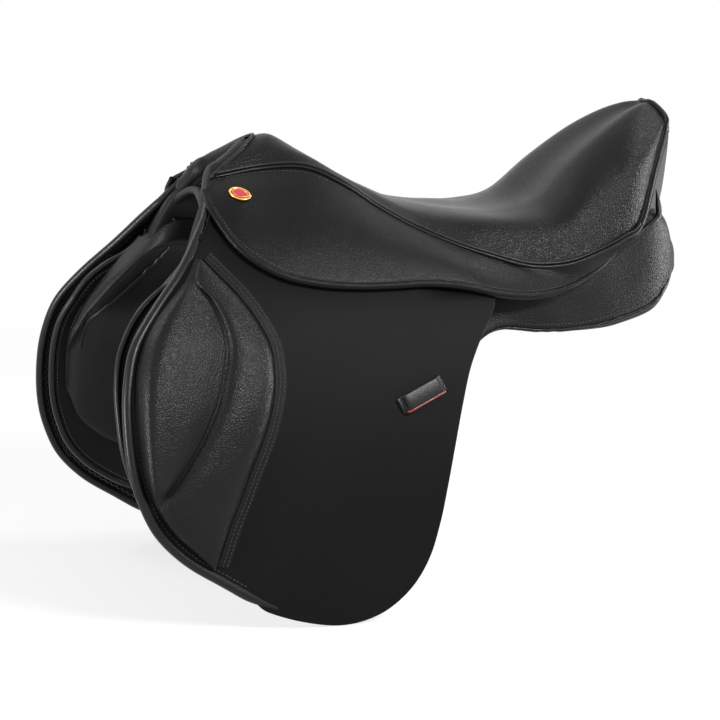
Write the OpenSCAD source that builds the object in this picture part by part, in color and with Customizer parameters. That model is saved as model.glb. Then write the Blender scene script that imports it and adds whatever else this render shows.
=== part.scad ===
// General purpose english saddle: tree, seat, skirts, flaps, panels and girth straps.
// +X runs to the cantle, -Y is the near (left) side, +Z is up. The origin lies on the
// centre line, at the middle of the panels' bearing on the horse's back.

/* [Seat] */
// Length from the head nail to the middle of the cantle
seat_length = 445; // [425:1:465]
// Width of the seat across its side welts
seat_width = 228; // [216:1:240]
// Height of the pommel above the bearing
pommel_height = 170; // [164:1:178]
// Height of the cantle above the bearing
cantle_height = 189; // [180:1:200]
// Thickness of the seat leather
cover_t = 2.2; // [1.5:0.1:3]
// Depth of the seat padding
foam_depth = 16; // [12:1:19]
// Radius of the welt cords in the seat seams
welt_r = 2.2; // [1.5:0.1:3]
// Radius of the padded roll that faces the pommel arch
facing_r = 10.5; // [8:0.5:12]
// Thickness of the cantle's back facing
cantle_facing_t = 3; // [2:0.2:4]

/* [Tree] */
// Thickness of the laminated wood
tree_t = 10; // [8:0.5:12]
// Thickness of the steel gullet plate and springs
plate_t = 1.8; // [1.2:0.1:2.4]
// Thickness of the straining web
web_t = 2; // [1.2:0.2:2.4]
// Width of a tree point, front to back
point_w = 34; // [26:1:38]
// Thickness of a tree point
point_t = 9; // [7:0.5:10]
// Thickness of the tree's side wings
wing_t = 7; // [5:0.5:8]
// Radius of the rivets in the head
rivet_r = 3; // [2:0.5:4]

/* [Flaps and skirts] */
// Reach of the flaps in front of the pommel top
flap_reach = 168; // [155:1:180]
// Drop of the flaps below the bearing
flap_drop = 250; // [225:1:275]
// Half width across the flaps at their lower edge
flap_spread = 195; // [188:1:205]
// Thickness of the flap leather
flap_t = 4; // [3:0.2:5]
// Thickness of the skirt leather
skirt_t = 3.4; // [2.6:0.2:4]
// Radius of the flap's rolled front edge
flap_roll_r = 4.8; // [3.6:0.2:5.4]
// Radius of the skirt's rolled lower edge
skirt_roll_r = 3.6; // [3:0.2:4.2]
// How far the skirts bulge over the stirrup bars
skirt_bulge = 10; // [8:0.5:13]
// Height of the knee pad's front bulge
pad_h = 19; // [12:1:24]
// Height of the knee pad's rear block
pad_rear_h = 12; // [8:1:16]
// Depth of the groove between them, above the flap
pad_groove_h = 7; // [5:0.5:8]

/* [Sweat flaps and panels] */
// Thickness of the sweat flap leather
sweat_t = 3; // [2.4:0.2:3.6]
// Gap between flap and sweat flap at the front edge
sweat_inset = 38; // [34:1:42]
// Radius of the sweat flap's piped edge
sweat_roll_r = 3.2; // [2.4:0.2:4]
// Depth of the flocked panel under the flap
panel_depth = 26; // [20:1:32]
// Half width of the gullet channel between the panels
gullet_half = 34; // [30:1:38]
// Radius of the panel roll that crosses below the head
arch_roll_r = 6; // [4.5:0.5:7]
// Depth of the block in front of the knee
block_depth = 24; // [16:1:27]

/* [Stirrup bars and keepers] */
// Length of a stirrup bar
bar_length = 92; // [84:1:98]
// Height of the bar's tongue
bar_h = 11; // [9:0.5:12]
// Thickness of the bar's tongue
bar_t = 6; // [5:0.5:7]
// Gap between the tongue and its plate
bar_slot = 6.4; // [5.6:0.2:7]
// Thickness of the bar's plate
bar_plate_t = 3; // [2:0.5:3.5]
// Radius of the catch's hinge pin
catch_pin_r = 1.6; // [1.2:0.1:2]
// Inner length of the keeper loop for the stirrup leather
keeper_length = 34; // [30:1:40]
// Width of the keeper loop
keeper_w = 14; // [10:1:16]
// Thickness of the keeper loop
keeper_t = 2.4; // [2:0.2:3]
// Clear height inside the keeper loop
keeper_gap = 5.6; // [5:0.2:7]
// Half length of the oval head badge
badge_r = 10.5; // [8:0.5:12]
// Thickness of the head badge
badge_t = 2.4; // [1.6:0.2:3]

/* [Girth straps] */
// Width of a girth strap
strap_w = 26; // [22:1:28]
// Thickness of a girth strap
strap_t = 4; // [3:0.2:4.4]
// Distance between neighbouring straps
strap_pitch = 48; // [48:1:54]
// Length of the straight part of a strap
strap_length = 180; // [160:1:190]
// Radius of a buckle hole
hole_r = 3; // [2:0.1:3.6]
// Distance between buckle holes
hole_pitch = 22; // [16:1:24]
// Number of buckle holes in a strap
hole_count = 6; // [3:1:6]
// Height of the buckle guard
guard_h = 56; // [40:1:64]
// Thickness of the buckle guard's face
guard_t = 2.6; // [2:0.2:3]
// Clearance of a strap inside the buckle guard
guard_clear = 0.7; // [0.4:0.1:0.9]

/* [Hidden] */

leather = "#2b2a2c";
seat_gap = 0.5;     // clearance between pieces that lie on each other
fold_gap = 1.2;     // gap along a fold between its fixed and its moving leather
core = 80;          // depth of the seat's nesting centre below its middle line

// Places are written for a 445 mm seat and stretched with the sizes above
lift = pommel_height - 170;
function px(x) = x < -200 ? -200 * seat_length / 445 + (x + 200) * flap_reach / 168 : x * seat_length / 445;
function pw(w) = w * seat_width / 228;
function pz(z) = z < 0 ? z * flap_drop / 250 : z + lift * min(z / 60, 1);
function rise(x) = (cantle_height - 189 - lift) * pow(max(x - 30, 0) / 170, 1.5);
function place(p) = [px(p[0]), p[1], pz(p[2])];

function lerp(a, b, t) = a + (b - a) * t;
function ease(t) = let (s = min(max(t, 0), 1)) s * s * (3 - 2 * s);
function unit(v) = v / norm(v);
function side(p, s) = [p[0], p[1] * s, p[2]];
module on_side(s) {
    mirror([0, s < 0 ? 1 : 0, 0])
        children();
}

// Smooth curve through the rows of a list, u from 0 to 1
function curve4(a, b, c, d, t) = b + (c - a) * (t / 2) + (2 * a - 5 * b + 4 * c - d) * (t * t / 2)
    + (3 * b - a - 3 * c + d) * (t * t * t / 2);
function along(list, u) = let (n = len(list) - 1, s = min(max(u, 0), 1) * n, i = min(floor(s), n - 1),
        a = i > 0 ? list[i - 1] : 2 * list[0] - list[1],
        d = i < n - 1 ? list[i + 2] : 2 * list[n] - list[n - 1])
    curve4(a, list[i], list[i + 1], d, s - i);
function steps(n, a = 0, b = 1) = [for (i = [0:n]) lerp(a, b, i / n)];

// ---- Solids from points ----

// Closed solid between two grids of points; the first grid is the outer face
module shell(outer, inner) {
    rows = len(outer);
    cols = len(outer[0]);
    all = concat([for (r = outer) for (p = r) p], [for (r = inner) for (p = r) p]);
    base = rows * cols;
    function id(k, i, j) = k * base + i * cols + j;
    m = floor(rows / 2);
    c = floor(cols / 2);
    turned = cross(outer[m][c] - outer[m - 1][c], outer[m][c] - outer[m][c - 1])
        * (outer[m][c] - inner[m][c]) < 0;
    function quad(a, b, c, d) = turned ? [[a, c, b], [a, d, c]] : [[a, b, c], [a, c, d]];
    faces = [for (i = [0:rows - 2]) for (j = [0:cols - 2]) each concat(
            quad(id(0, i, j), id(0, i, j + 1), id(0, i + 1, j + 1), id(0, i + 1, j)),
            quad(id(1, i, j), id(1, i + 1, j), id(1, i + 1, j + 1), id(1, i, j + 1)))];
    ends = [for (i = [0:rows - 2]) each concat(
            quad(id(0, i, 0), id(0, i + 1, 0), id(1, i + 1, 0), id(1, i, 0)),
            quad(id(0, i, cols - 1), id(1, i, cols - 1), id(1, i + 1, cols - 1), id(0, i + 1, cols - 1)))];
    sides = [for (j = [0:cols - 2]) each concat(
            quad(id(0, 0, j), id(1, 0, j), id(1, 0, j + 1), id(0, 0, j + 1)),
            quad(id(0, rows - 1, j), id(0, rows - 1, j + 1), id(1, rows - 1, j + 1), id(1, rows - 1, j)))];
    polyhedron(all, concat(faces, ends, sides));
}

// Section, a counterclockwise list, carried along a path; up steers the section's second axis
module sweep(path, section, up = [0, 0, 1]) {
    n = len(path);
    k = len(section);
    rings = [for (i = [0:n - 1]) let (
            t = unit(path[min(i + 1, n - 1)] - path[max(i - 1, 0)]),
            a = unit(cross(up, t)),
            b = cross(t, a))
        [for (s = section) path[i] + a * s[0] + b * s[1]]];
    polyhedron([for (r = rings) for (p = r) p], concat(
        [[for (j = [0:k - 1]) j]],
        [[for (j = [k - 1:-1:0]) (n - 1) * k + j]],
        [for (i = [0:n - 2]) for (j = [0:k - 1]) each let (m = (j + 1) % k)
            [[i * k + j, (i + 1) * k + j, (i + 1) * k + m], [i * k + j, (i + 1) * k + m, i * k + m]]]));
}
function round_section(r, n = 8) = [for (i = [0:n - 1]) [r * cos(i * 360 / n), r * sin(i * 360 / n)]];
function flat_section(w, t) = [[w, t] / 2, [-w, t] / 2, [-w, -t] / 2, [w, -t] / 2];

// ---- Seat ----

// Cross rows of the seat from pommel to cantle: middle x, z, then three points x, w, z out to the welt
SEAT = [
    [-200, 170, -209, 14, 165, -226, 28, 154, -252, 40, 140],
    [-185, 170, -189, 14, 168, -196, 27, 160, -206, 37, 146],
    [-160, 155, -161, 18, 155, -163, 34, 153, -167, 45, 146],
    [-130, 136, -130, 24, 135, -132, 44, 135, -135, 58, 131],
    [-104, 123, -104, 30, 122, -104, 54, 119, -105, 69, 110],
    [-74, 109, -74, 34, 109, -74, 64, 104, -75, 81, 92],
    [-40, 101, -40, 42, 101, -40, 76, 94, -40, 94, 76],
    [-5, 96, -5, 48, 97, -5, 87, 90, -6, 104, 64],
    [30, 95, 30, 52, 96, 30, 94, 88, 30, 112, 54],
    [65, 104, 64, 54, 106, 66, 98, 90, 66, 114, 54],
    [100, 131, 99, 50, 138, 97, 92, 110, 100, 111, 63],
    [135, 155, 132, 45, 162, 126, 86, 125, 128, 104, 73],
    [165, 174, 160, 36, 177, 152, 78, 141, 150, 94, 84],
    [186, 185, 182, 24, 186, 179, 59, 158, 174, 69, 126],
    [198, 189, 200, 12, 189, 204, 32, 177, 201, 37, 163]];
function seat_place(x, w, z) = [px(x), pw(w), pz(z) + rise(x)];
// Point of the seat: u from pommel to cantle, v from the middle line (0) to the welt (1),
// k sinks it towards the core
function seat_mid(u) = let (r = along(SEAT, u)) seat_place(r[0], 0, r[1]);
function seat_at(u, v, k = 0) = let (r = along(SEAT, u), m = seat_mid(u), s = v < 0 ? -1 : 1,
        row = [side(seat_place(r[2], r[3], r[4]), -1), m, seat_place(r[2], r[3], r[4]),
            seat_place(r[5], r[6], r[7]), seat_place(r[8], r[9], r[10])],
        q = abs(v) * 3, i = min(floor(q), 2),
        d = i < 2 ? row[i + 3] : 2 * row[4] - row[3],
        p = curve4(row[i], row[i + 1], row[i + 2], d, q - i))
    lerp([p[0], p[1] * s, p[2]], [p[0], 0, m[2] - core], k);
// Layer of the seat between two depths; every layer keeps to the same grid lines, so they nest
seat_rows = 28;
seat_cols = 8;
function grid(n, a, b) = concat([a], [for (i = [-n:n]) if (i / n > a + 0.2 / n && i / n < b - 0.2 / n) i / n], [b]);
module layer(u0, u1, v0, v1, k0, k1) {
    us = grid(seat_rows, u0, u1);
    vs = grid(seat_cols, v0, v1);
    shell([for (u = us) [for (v = vs) seat_at(u, v, k0)]], [for (u = us) [for (v = vs) seat_at(u, v, k1)]]);
}
cover_k = cover_t / core;
foam_top_k = cover_k + seat_gap / core;
foam_k = foam_top_k + foam_depth / core;
web_top_k = foam_k + 1.6 * seat_gap / core;
wood_k = web_top_k + tree_t / core;
plate_top_k = wood_k + seat_gap / core;
plate_k = plate_top_k + plate_t / core;
head_end = 0.24;      // where the head ends and the rails begin, in u
cantle_start = 0.82;  // where the rails end and the cantle begins

module seat_cover() {
    color(leather)
        layer(0, 1, -1, 1, 0, cover_k);
}
module seat_foam() {
    color("#c9b98a")
        layer(0.03, 0.975, -0.97, 0.97, foam_top_k, foam_k);
}
module tree_head() {
    color("#b08a5a")
        layer(0.045, head_end, -0.95, 0.95, web_top_k, wood_k);
}
module tree_cantle() {
    color("#b08a5a")
        layer(cantle_start, 0.98, -0.95, 0.95, web_top_k, wood_k);
}
module tree_rail(s) {
    color("#b08a5a")
        on_side(s)
            layer(head_end + 0.003, cantle_start - 0.003, 0.5, 0.95, web_top_k, wood_k);
}
module tree_springs() {
    color("#7d838a")
        for (s = [-1, 1])
            on_side(s)
                layer(head_end - 0.06, cantle_start + 0.06, 0.62, 0.8, plate_top_k, plate_k);
}
module straining_web() {
    color("#d8cfb8")
        layer(head_end + 0.003, cantle_start - 0.003, -0.48, 0.48, web_top_k, web_top_k + web_t / core);
}
module gullet_plate() {
    color("#7d838a")
        layer(0.055, head_end - 0.08, -0.85, 0.85, plate_top_k, plate_k);
}
// Rivet heads below the gullet plate
module head_rivets() {
    color("#9aa0a6")
        for (u = [0.07, 0.13])
            for (v = [-0.25, 0.25])
                let (p = seat_at(u, v, plate_k))
                    translate(p - [0, 0, seat_gap + rivet_r * 1.5])
                        cylinder(r = rivet_r, h = rivet_r, $fn = 24);
}

// Seam line between seat and skirt, and cords laid in the seams
module seat_welts() {
    color(leather)
        for (s = [-1, 1])
            on_side(s)
                sweep([for (u = steps(30, 0.01, 0.8)) seat_at(u, 1) + [0, welt_r + 0.9, welt_r * 0.2]],
                    round_section(welt_r, 6));
}
// Point moved square to the arch edge of the pommel, towards the front
function before_arch(v, k, d) = let (t = seat_at(0, min(v + 0.02, 1), k) - seat_at(0, max(v - 0.02, -1), k),
        n = unit([-t[1], t[0], 0]))
    seat_at(0, v, k) + n * d;
module pommel_welt() {
    color(leather)
        sweep([for (v = steps(16, -1, 1)) before_arch(v, 0, welt_r + seat_gap) + [0, 0, welt_r * 0.2]],
            round_section(welt_r, 6), [1, 0, 0]);
}
// Padded roll in front of the pommel arch, below its welt
module pommel_facing() {
    color(leather)
        sweep([for (v = steps(18, -0.86, 0.86)) before_arch(v, (cover_t + facing_r + 2 * seat_gap) * 1.15 / core,
                facing_r * 0.55)],
            round_section(facing_r, 10), [1, 0, 0]);
}

// Back facing of the cantle: q runs along the seat's rear edge from its side to the middle line,
// v from that seam down to the cantle's lower edge
function cantle_seam(q) = let (p = q < 0.5 ? seat_at(lerp(cantle_side, 1, 2 * q), 1) : seat_at(1, 2 - 2 * q))
    p + [0.7, 0.7 * min(p[1] / 30, 1), -1];
cantle_side = 0.857;
cantle_drop = 60;     // height of the facing on the middle line
function cantle_at(u, v) = let (q = 1 - abs(1 - 2 * u), s = u < 0.5 ? -1 : 1, a = cantle_seam(q),
        drop = 5 + cantle_drop * pow(sin(90 * min(q / 0.55, 1)), 1.3),
        b = a - [2 + 4 * sin(180 * q), a[1] * 0.06, drop], p = lerp(a, b, v) + [5 * v * (1 - v), 0, 0])
    [p[0], u == 0.5 ? 0 : p[1] * s, p[2]];
module cantle_facing() {
    color(leather)
        shell([for (u = steps(20)) [for (v = steps(4)) cantle_at(u, v) + [cantle_facing_t, 0, 0]]],
            [for (u = steps(20)) [for (v = steps(4)) cantle_at(u, v)]]);
}

// ---- Drape of flaps and sweat flaps ----

// Half width of the leather's outer face at a height, and its lean there
head_half = 45;
drape_length = 120;
function drape(z) = flap_spread - (flap_spread - pw(head_half)) * exp(-(pommel_height - 40 - z) / drape_length);
function lean(z) = norm([1, (flap_spread - drape(z)) / drape_length]);
// Point on the flap's outer face, sunk by a depth square to the leather
function on_flap(x, z, depth = 0) = [x, drape(z) - depth * lean(z), z];
// Depth of the sweat flap's outer face below the flap's
function inset(z) = min(max(10 + (110 - z) * 0.28, 10), sweat_inset);
function on_sweat(x, z, depth = 0) = [x, drape(z) - inset(z) - depth, z];
// Point moved out of an outline along the outline's own normal
function edge_out(list, u, d) = let (e = 0.004, t = along(list, u + e) - along(list, u - e),
        n = unit([-t[1], t[0]]), p = along(list, u))
    p + n * d;

// ---- Flaps ----

// Outline of the flap, x and z, from the pommel down the front, round the foot and up the rear
FLAP = [for (p = [[-273, 109], [-287, 90], [-309, 63], [-336, 33], [-356, 4], [-366, -30], [-369, -64],
        [-367, -100], [-360, -130], [-346, -158], [-322, -183], [-292, -207], [-258, -228], [-220, -243],
        [-180, -250], [-145, -243], [-117, -224], [-98, -198], [-86, -166], [-77, -132], [-68, -97],
        [-58, -62], [-47, -31], [-32, -4], [-18, 16], [-12, 30]]) [px(p[0]), pz(p[1])]];
// Fold line of the flap, a straight line along the tree
fold_front = place([-262, 0, 120]);
fold_rear = place([-10, 0, 60]);
function fold_z(x) = lerp(fold_front[2], fold_rear[2], (x - fold_front[0]) / (fold_rear[0] - fold_front[0]));
// Upper edge of the moving flap: just below the fold, scooped out round the stirrup bar, and lower
// over the tree point
scoop = 34;
front_drop = 14;
bar_x = px(-120);
function scoop_at(x) = ease((x - bar_x + bar_length * 0.95) / 44) * ease((bar_x + bar_length * 0.8 - x) / 44);
function flap_top(x) = [x, fold_z(x) - fold_gap / 2
    - max(scoop * scoop_at(x), front_drop * ease((bar_x - bar_length - x) / 12))];
roll_end = 0.46;      // where the rolled edge ends, in u along the outline
function flap_edge(u) = edge_out(FLAP, u, (2 * flap_roll_r + seat_gap) * ease((roll_end + 0.03 - u) / 0.03));
flap_rear = px(-34);
function flap_xz(u, v) = let (a = flap_top(lerp(fold_front[0] + 3, flap_rear, u)), b = flap_edge(u))
    lerp(a, b, v);
// The upper rear corner is drawn in below the skirt
function tuck(x, z) = 6.5 * ease((x - px(-90)) / 45) * ease((z - 25) / 25);
function flap_at(u, v, depth) = let (p = flap_xz(u, v)) on_flap(p[0], p[1], depth + tuck(p[0], p[1]));
module flap(s) {
    color(leather)
        shell([for (u = steps(30)) [for (v = steps(8)) side(flap_at(u, v, 0), s)]],
            [for (u = steps(30)) [for (v = steps(8)) side(flap_at(u, v, flap_t), s)]]);
}
module flap_roll(s) {
    color(leather)
        on_side(s)
            sweep([for (u = steps(26, 0.04, roll_end)) let (p = edge_out(FLAP, u, flap_roll_r))
                    on_flap(p[0], p[1], flap_t / 2)],
                round_section(flap_roll_r), [0, 1, 0]);
}
// Fixed upper margin of the flap, nailed to the tree above the fold
band_h = 11;
band_sink = 5;        // how far the margin lies below the flap's own face
band_rear = px(-92);
function band_at(q, h, depth) = let (x = lerp(fold_front[0] + 2, band_rear, q))
    on_flap(x, fold_z(x) + fold_gap / 2 + band_h * h, band_sink + depth);
module flap_band(s) {
    color(leather)
        shell([for (q = steps(12)) [for (h = steps(2)) side(band_at(q, h, 0), s)]],
            [for (q = steps(12)) [for (h = steps(2)) side(band_at(q, h, flap_t), s)]]);
}

// Knee pad on the flap: front and rear outline matched from tip to foot, with the groove between
PAD = [for (r = [[-288, 75, -287, 72, -285, 74], [-302, 55, -287, 54, -270, 57], [-319, 39, -281, 36, -255, 39],
        [-332, 25, -276, 18, -243, 20], [-343, 8, -274, -2, -234, -2], [-351, -14, -277, -24, -233, -25],
        [-355, -37, -285, -45, -236, -46], [-356, -60, -297, -68, -243, -68], [-355, -84, -309, -90, -253, -90],
        [-352, -108, -321, -112, -263, -110], [-344, -131, -331, -131, -273, -132],
    [-332, -154, -317, -153, -283, -153], [-317, -171, -307, -171, -291, -173],
    [-301, -188, -299, -188, -297, -188]])
    [px(r[0]), pz(r[1]), px(r[2]), pz(r[3]), px(r[4]), pz(r[5])]];
// Height of the pad over the flap: two humps and a groove, falling to its edges
function pad_height(u, v) = let (tip = pow(sin(180 * lerp(0.02, 0.985, u)), 0.6))
    v < 0.5 ? tip * (pad_h * sin(180 * min(v * 2 * 0.94, 1)) + pad_groove_h * ease(v * 4 - 1) * 0.9)
        : tip * (pad_groove_h + (pad_rear_h - pad_groove_h) * ease((v - 0.5) * 5)) * pow(min((1 - v) * 5, 1), 0.5);
function pad_at(u, v, lift_by) = let (r = along(PAD, u), a = [r[0], r[1]], b = [r[2], r[3]], c = [r[4], r[5]],
        q = v < 0.5 ? lerp(a, b, v * 2) : lerp(b, c, v * 2 - 1))
    on_flap(q[0], q[1], -seat_gap - lift_by);
module knee_pad(s) {
    vs = [0, 0.06, 0.14, 0.24, 0.34, 0.44, 0.5, 0.58, 0.7, 0.8, 0.9, 0.96, 1];
    color(leather)
        shell([for (u = steps(20)) [for (v = vs) side(pad_at(u, v, 1 + max(pad_height(u, v), 0)), s)]],
            [for (u = steps(20)) [for (v = vs) side(pad_at(u, v, 0), s)]]);
}

// Keeper loop for the stirrup leather: a band that stands off the flap between two tabs
keeper_place = place([-97, 0, -52]);
keeper_tilt = 24;
keeper_tab = 3;       // length of its ends on the flap
keeper_lean = atan((flap_spread - drape(keeper_place[2])) / drape_length);
module leather_keeper(s) {
    span = keeper_length + 2 * keeper_t;
    color(leather)
        on_side(s)
            translate(on_flap(keeper_place[0], keeper_place[2], -seat_gap))
                rotate([keeper_lean, 0, 0])
                    rotate([-90, 0, 0])
                        rotate([0, 0, -keeper_tilt])
                            translate([0, keeper_w / 2, 0])
                                rotate([90, 0, 0])
                                    linear_extrude(keeper_w)
                                        polygon([[-span / 2 - keeper_tab, 0], [-span / 2, 0], [-span / 2, 0],
                                            [-keeper_length / 2, 0], [-keeper_length / 2, keeper_gap],
                                            [keeper_length / 2, keeper_gap], [keeper_length / 2, 0],
                                            [span / 2 + keeper_tab, 0], [span / 2 + keeper_tab, keeper_t],
                                            [span / 2, keeper_t], [span / 2, keeper_gap + keeper_t],
                                            [-span / 2, keeper_gap + keeper_t], [-span / 2, keeper_t],
                                            [-span / 2 - keeper_tab, keeper_t]]);
}

// ---- Skirts ----

// Lower edge of the skirt, and the place along the seat's welt that each point hangs from
SKIRT = [[-268, 6, 126], [-267, 6.5, 113], [-262, 6.8, 98], [-252, 6.8, 81], [-236, 6.8, 66], [-212, 7, 53],
    [-180, 7, 45], [-145, 7, 41], [-110, 7, 40], [-75, 7, 40], [-40, 7, 36], [-6, 4.5, 28], [28, -2, 24],
    [62, -9, 27], [96, -18, 38], [126, -31, 53], [147, -43, 73]];
SKIRT_WELT = [0.002, 0.012, 0.024, 0.04, 0.066, 0.1, 0.142, 0.19, 0.245, 0.305, 0.37, 0.435, 0.5, 0.57, 0.645,
    0.72, 0.795];
function skirt_low(u) = let (p = along(SKIRT, u), z = pz(p[2])) [px(p[0]), drape(z) + p[1], z];
function skirt_at(u, v, depth = 0) = let (rear = 1 + 1.2 * ease((u - 0.65) * 5),
        a = seat_at(along([for (w = SKIRT_WELT) [w]], u)[0], 1) + [0, welt_r, -welt_r * 1.2] * rear,
        b = skirt_low(u), swell = skirt_bulge * ease(u * 5) * ease((0.9 - u) * 2.5) * 4 * v * (1 - v),
        d = b - a, n = unit([0, -d[2], d[1]]))
    lerp(a, b, v) + n * (swell - depth);
// Share of the skirt's depth above its lower roll, and the share at a distance above the fold
function roll_share(u, r) = 1 - r / max(norm(skirt_low(u) - skirt_at(u, 0)), 1);
function skirt_fold(u, depth, d) = let (
        f = [for (v = steps(8)) let (p = skirt_at(u, v, depth)) p[2] - fold_z(p[0]) - d],
        i = len([for (h = f) if (h > 0) h]))
    i == 0 ? 0 : i == 9 ? 1 : (i - 1 + f[i - 1] / (f[i - 1] - f[i])) / 8;
fold_end = 0.6875;    // the skirt is free to lift in front of this, in u
fold_start = 0.065;   // and behind this
skirt_edge_clear = 2 * skirt_roll_r + 4 * seat_gap;
module skirt(s) {
    function face(depth) = [for (u = steps(20, fold_start + 0.01, fold_end - 0.01))
        let (top = skirt_fold(u, depth, -fold_gap / 2), low = roll_share(u, skirt_edge_clear))
            [for (v = steps(4)) side(skirt_at(u, lerp(top, low, v), depth), s)]];
    color(leather)
        shell(face(0), face(skirt_t));
}
module skirt_roll(s, u0, u1, n) {
    on_side(s)
        sweep([for (u = steps(n, u0, u1)) skirt_at(u, roll_share(u, skirt_roll_r), skirt_t / 2)],
            round_section(skirt_roll_r), [0, 1, 0]);
}
module skirt_edge(s) {
    color(leather)
        skirt_roll(s, fold_start, fold_end - 0.01, 24);
}
// Fixed part of the skirt: the band under the welt and the whole strip behind the fold
module skirt_root(s) {
    us = concat(steps(18, 0.02, fold_end), steps(10, fold_end + 0.008, 0.985));
    function face(depth) = [for (u = us)
        let (low = roll_share(u, skirt_edge_clear),
            end = u <= fold_end ? min(skirt_fold(u, depth, fold_gap / 2), low) : low)
            [for (v = steps(3)) side(skirt_at(u, v * end, depth), s)]];
    color(leather) {
        shell(face(0), face(skirt_t));
        skirt_roll(s, fold_end + 0.01, 0.985, 12);
    }
}
// Oval badge pinned to the front of the skirt
badge_u = 0.185;
badge_v = 0.4;
badge_turn = 90;
module head_badge(s) {
    p = skirt_at(badge_u, badge_v);
    n = unit(cross(skirt_at(badge_u + 0.02, badge_v) - p, skirt_at(badge_u, badge_v + 0.05) - p));
    color("#c8324f")
        on_side(s)
            translate(p + n * seat_gap)
                rotate([0, acos(n[2]), atan2(n[1], n[0])])
                    rotate([0, 0, badge_turn])
                        linear_extrude(badge_t)
                            polygon([for (i = [0:39]) badge_r * [cos(i * 9), 0.72 * sin(i * 9)]]);
}

// ---- Tree below the seat: wings and points ----

wing_clear = 25.9;    // how far the wing's foot lies below the flap's face
wing_foot = [0, drape(62) - wing_clear, 62];   // outer face of the wing at its foot
wing_front = px(-212);
wing_rear = px(-68);
WING_U = [0.065, 0.11, 0.16, 0.235, 0.305, 0.375];   // seat rows that the wing hangs from
function wing_u(q) = along([for (w = WING_U) [w]], q)[0];
function wing_line(q) = let (x = lerp(wing_front, wing_rear, q), zk = fold_z(x) + band_h / 2,
        a = seat_at(wing_u(q), 0.95, (web_top_k + wood_k) / 2))
    [[x, a[1] + wing_t * 0.5 + 1.6, a[2] - wing_t * 0.7],
        on_flap(x, zk, band_sink + flap_t + 3 * seat_gap + wing_t / 2),
        [x, wing_foot[1] - wing_t / 2, wing_foot[2]]];
function wing_face(q, d) = let (c = wing_line(q), a = unit(c[1] - c[0]), b = unit(c[2] - c[1]),
        na = [0, -a[2], a[1]], nb = [0, -b[2], b[1]], nm = (na + nb) / (1 + na * nb))
    [c[0] + na * d, lerp(c[0], c[1], 0.5) + na * d, c[1] + nm * d, lerp(c[1], c[2], 0.5) + nb * d, c[2] + nb * d];
module tree_wing(s) {
    color("#b08a5a")
        shell([for (q = steps(8)) [for (p = wing_face(q, wing_t / 2)) side(p, s)]],
            [for (q = steps(8)) [for (p = wing_face(q, -wing_t / 2)) side(p, s)]]);
}
// Tree point: height and depth below the flap's face
POINT = [[-240, 111, 24], [-247, 94, 17.5], [-250, 68, 14.2], [-253, 42, 20], [-255, 20, 23]];
point_start = seat_at(0.03, 0.95, (web_top_k + wood_k) / 2);
point_path = concat([[px(-234), point_start[1] + 2.6, point_start[2] - 3]],
    [for (p = POINT) [px(p[0]), drape(pz(p[1])) - p[2], pz(p[1])]]);
module tree_point(s) {
    color("#b08a5a")
        on_side(s)
            sweep([for (u = steps(10)) along(point_path, u)], flat_section(point_t, point_w), [1, 0, 0]);
}
// Leather pocket on the sweat flap that the point slips into
module point_pocket(s) {
    pocket_t = 2;
    color(leather)
        on_side(s)
            sweep([for (u = steps(5, 0.66, 0.97)) along(point_path, u)
                    + [0, point_t / 2 * 1.16 + pocket_t / 2 + seat_gap, 1]],
                flat_section(pocket_t, point_w + 8), [1, 0, 0]);
}

// ---- Stirrup bars ----

bar_front = bar_x - bar_length / 2;
bar_rear = bar_x + bar_length / 2;
bar_low = 60;
plate_y = wing_foot[1] + seat_gap;
tongue_y = plate_y + bar_plate_t + bar_slot;
bridge = 6;
catch_x = bar_rear - 4;
catch_z = bar_low + bar_h / 2;
pin_clear = 0.06;
module stirrup_bar(s) {
    color("#8d9399")
        on_side(s)
            difference() {
                union() {
                    translate([bar_front, plate_y, bar_low + 3])
                        cube([bar_length, bar_plate_t, bar_h + 5]);
                    translate([bar_front, plate_y, bar_low])
                        cube([bridge, bar_plate_t + bar_slot + bar_t, bar_h]);
                    translate([bar_front, tongue_y, bar_low])
                        cube([bar_length, bar_t, bar_h]);
                }
                translate([catch_x, tongue_y - 1, catch_z])
                    rotate([-90, 0, 0])
                        cylinder(r = catch_pin_r + pin_clear, h = bar_t + 2, $fn = 32);
            }
}
// Safety catch at the open end of the bar, turning on its pin
catch_reach = 11;
module bar_catch(s) {
    thick = bar_slot - 1.4;
    color("#9aa0a6")
        on_side(s)
            translate([catch_x, tongue_y - 0.4 - thick, catch_z]) {
                rotate([-90, 0, 0])
                    cylinder(r = bar_h * 0.36, h = thick, $fn = 32);
                translate([-bar_h * 0.3, 0, 0])
                    cube([bar_h * 0.6, thick, catch_reach]);
                rotate([-90, 0, 0])
                    cylinder(r = catch_pin_r, h = thick + 0.4 + bar_t, $fn = 32);
            }
}

// ---- Sweat flaps and panels ----

SWEAT = [for (p = [[-288, 74], [-302, 57], [-322, 45], [-340, 30], [-354, 10], [-364, -10], [-369, -34],
        [-370, -60], [-368, -90], [-361, -118], [-350, -142], [-330, -164], [-300, -184], [-264, -202],
        [-224, -213], [-180, -216], [-140, -206], [-114, -182], [-100, -150], [-90, -112], [-81, -74],
        [-70, -38], [-54, -8], [-34, 14], [-12, 28]]) [px(p[0]), pz(p[1])]];
SWEAT_TOP = [for (p = [[-285, 76], [-240, 66], [-208, 46], [-150, 43], [-90, 41], [-45, 38], [-10, 33]])
    [px(p[0]), pz(p[1])]];
sweat_roll_end = 0.5;
function sweat_edge_at(u) = edge_out(SWEAT, u,
    (2 * sweat_roll_r + seat_gap) * ease((sweat_roll_end + 0.03 - u) / 0.03));
function sweat_at(u, v, depth) = let (p = lerp(along(SWEAT_TOP, u), sweat_edge_at(u), v))
    on_sweat(p[0], p[1], depth);
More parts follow.
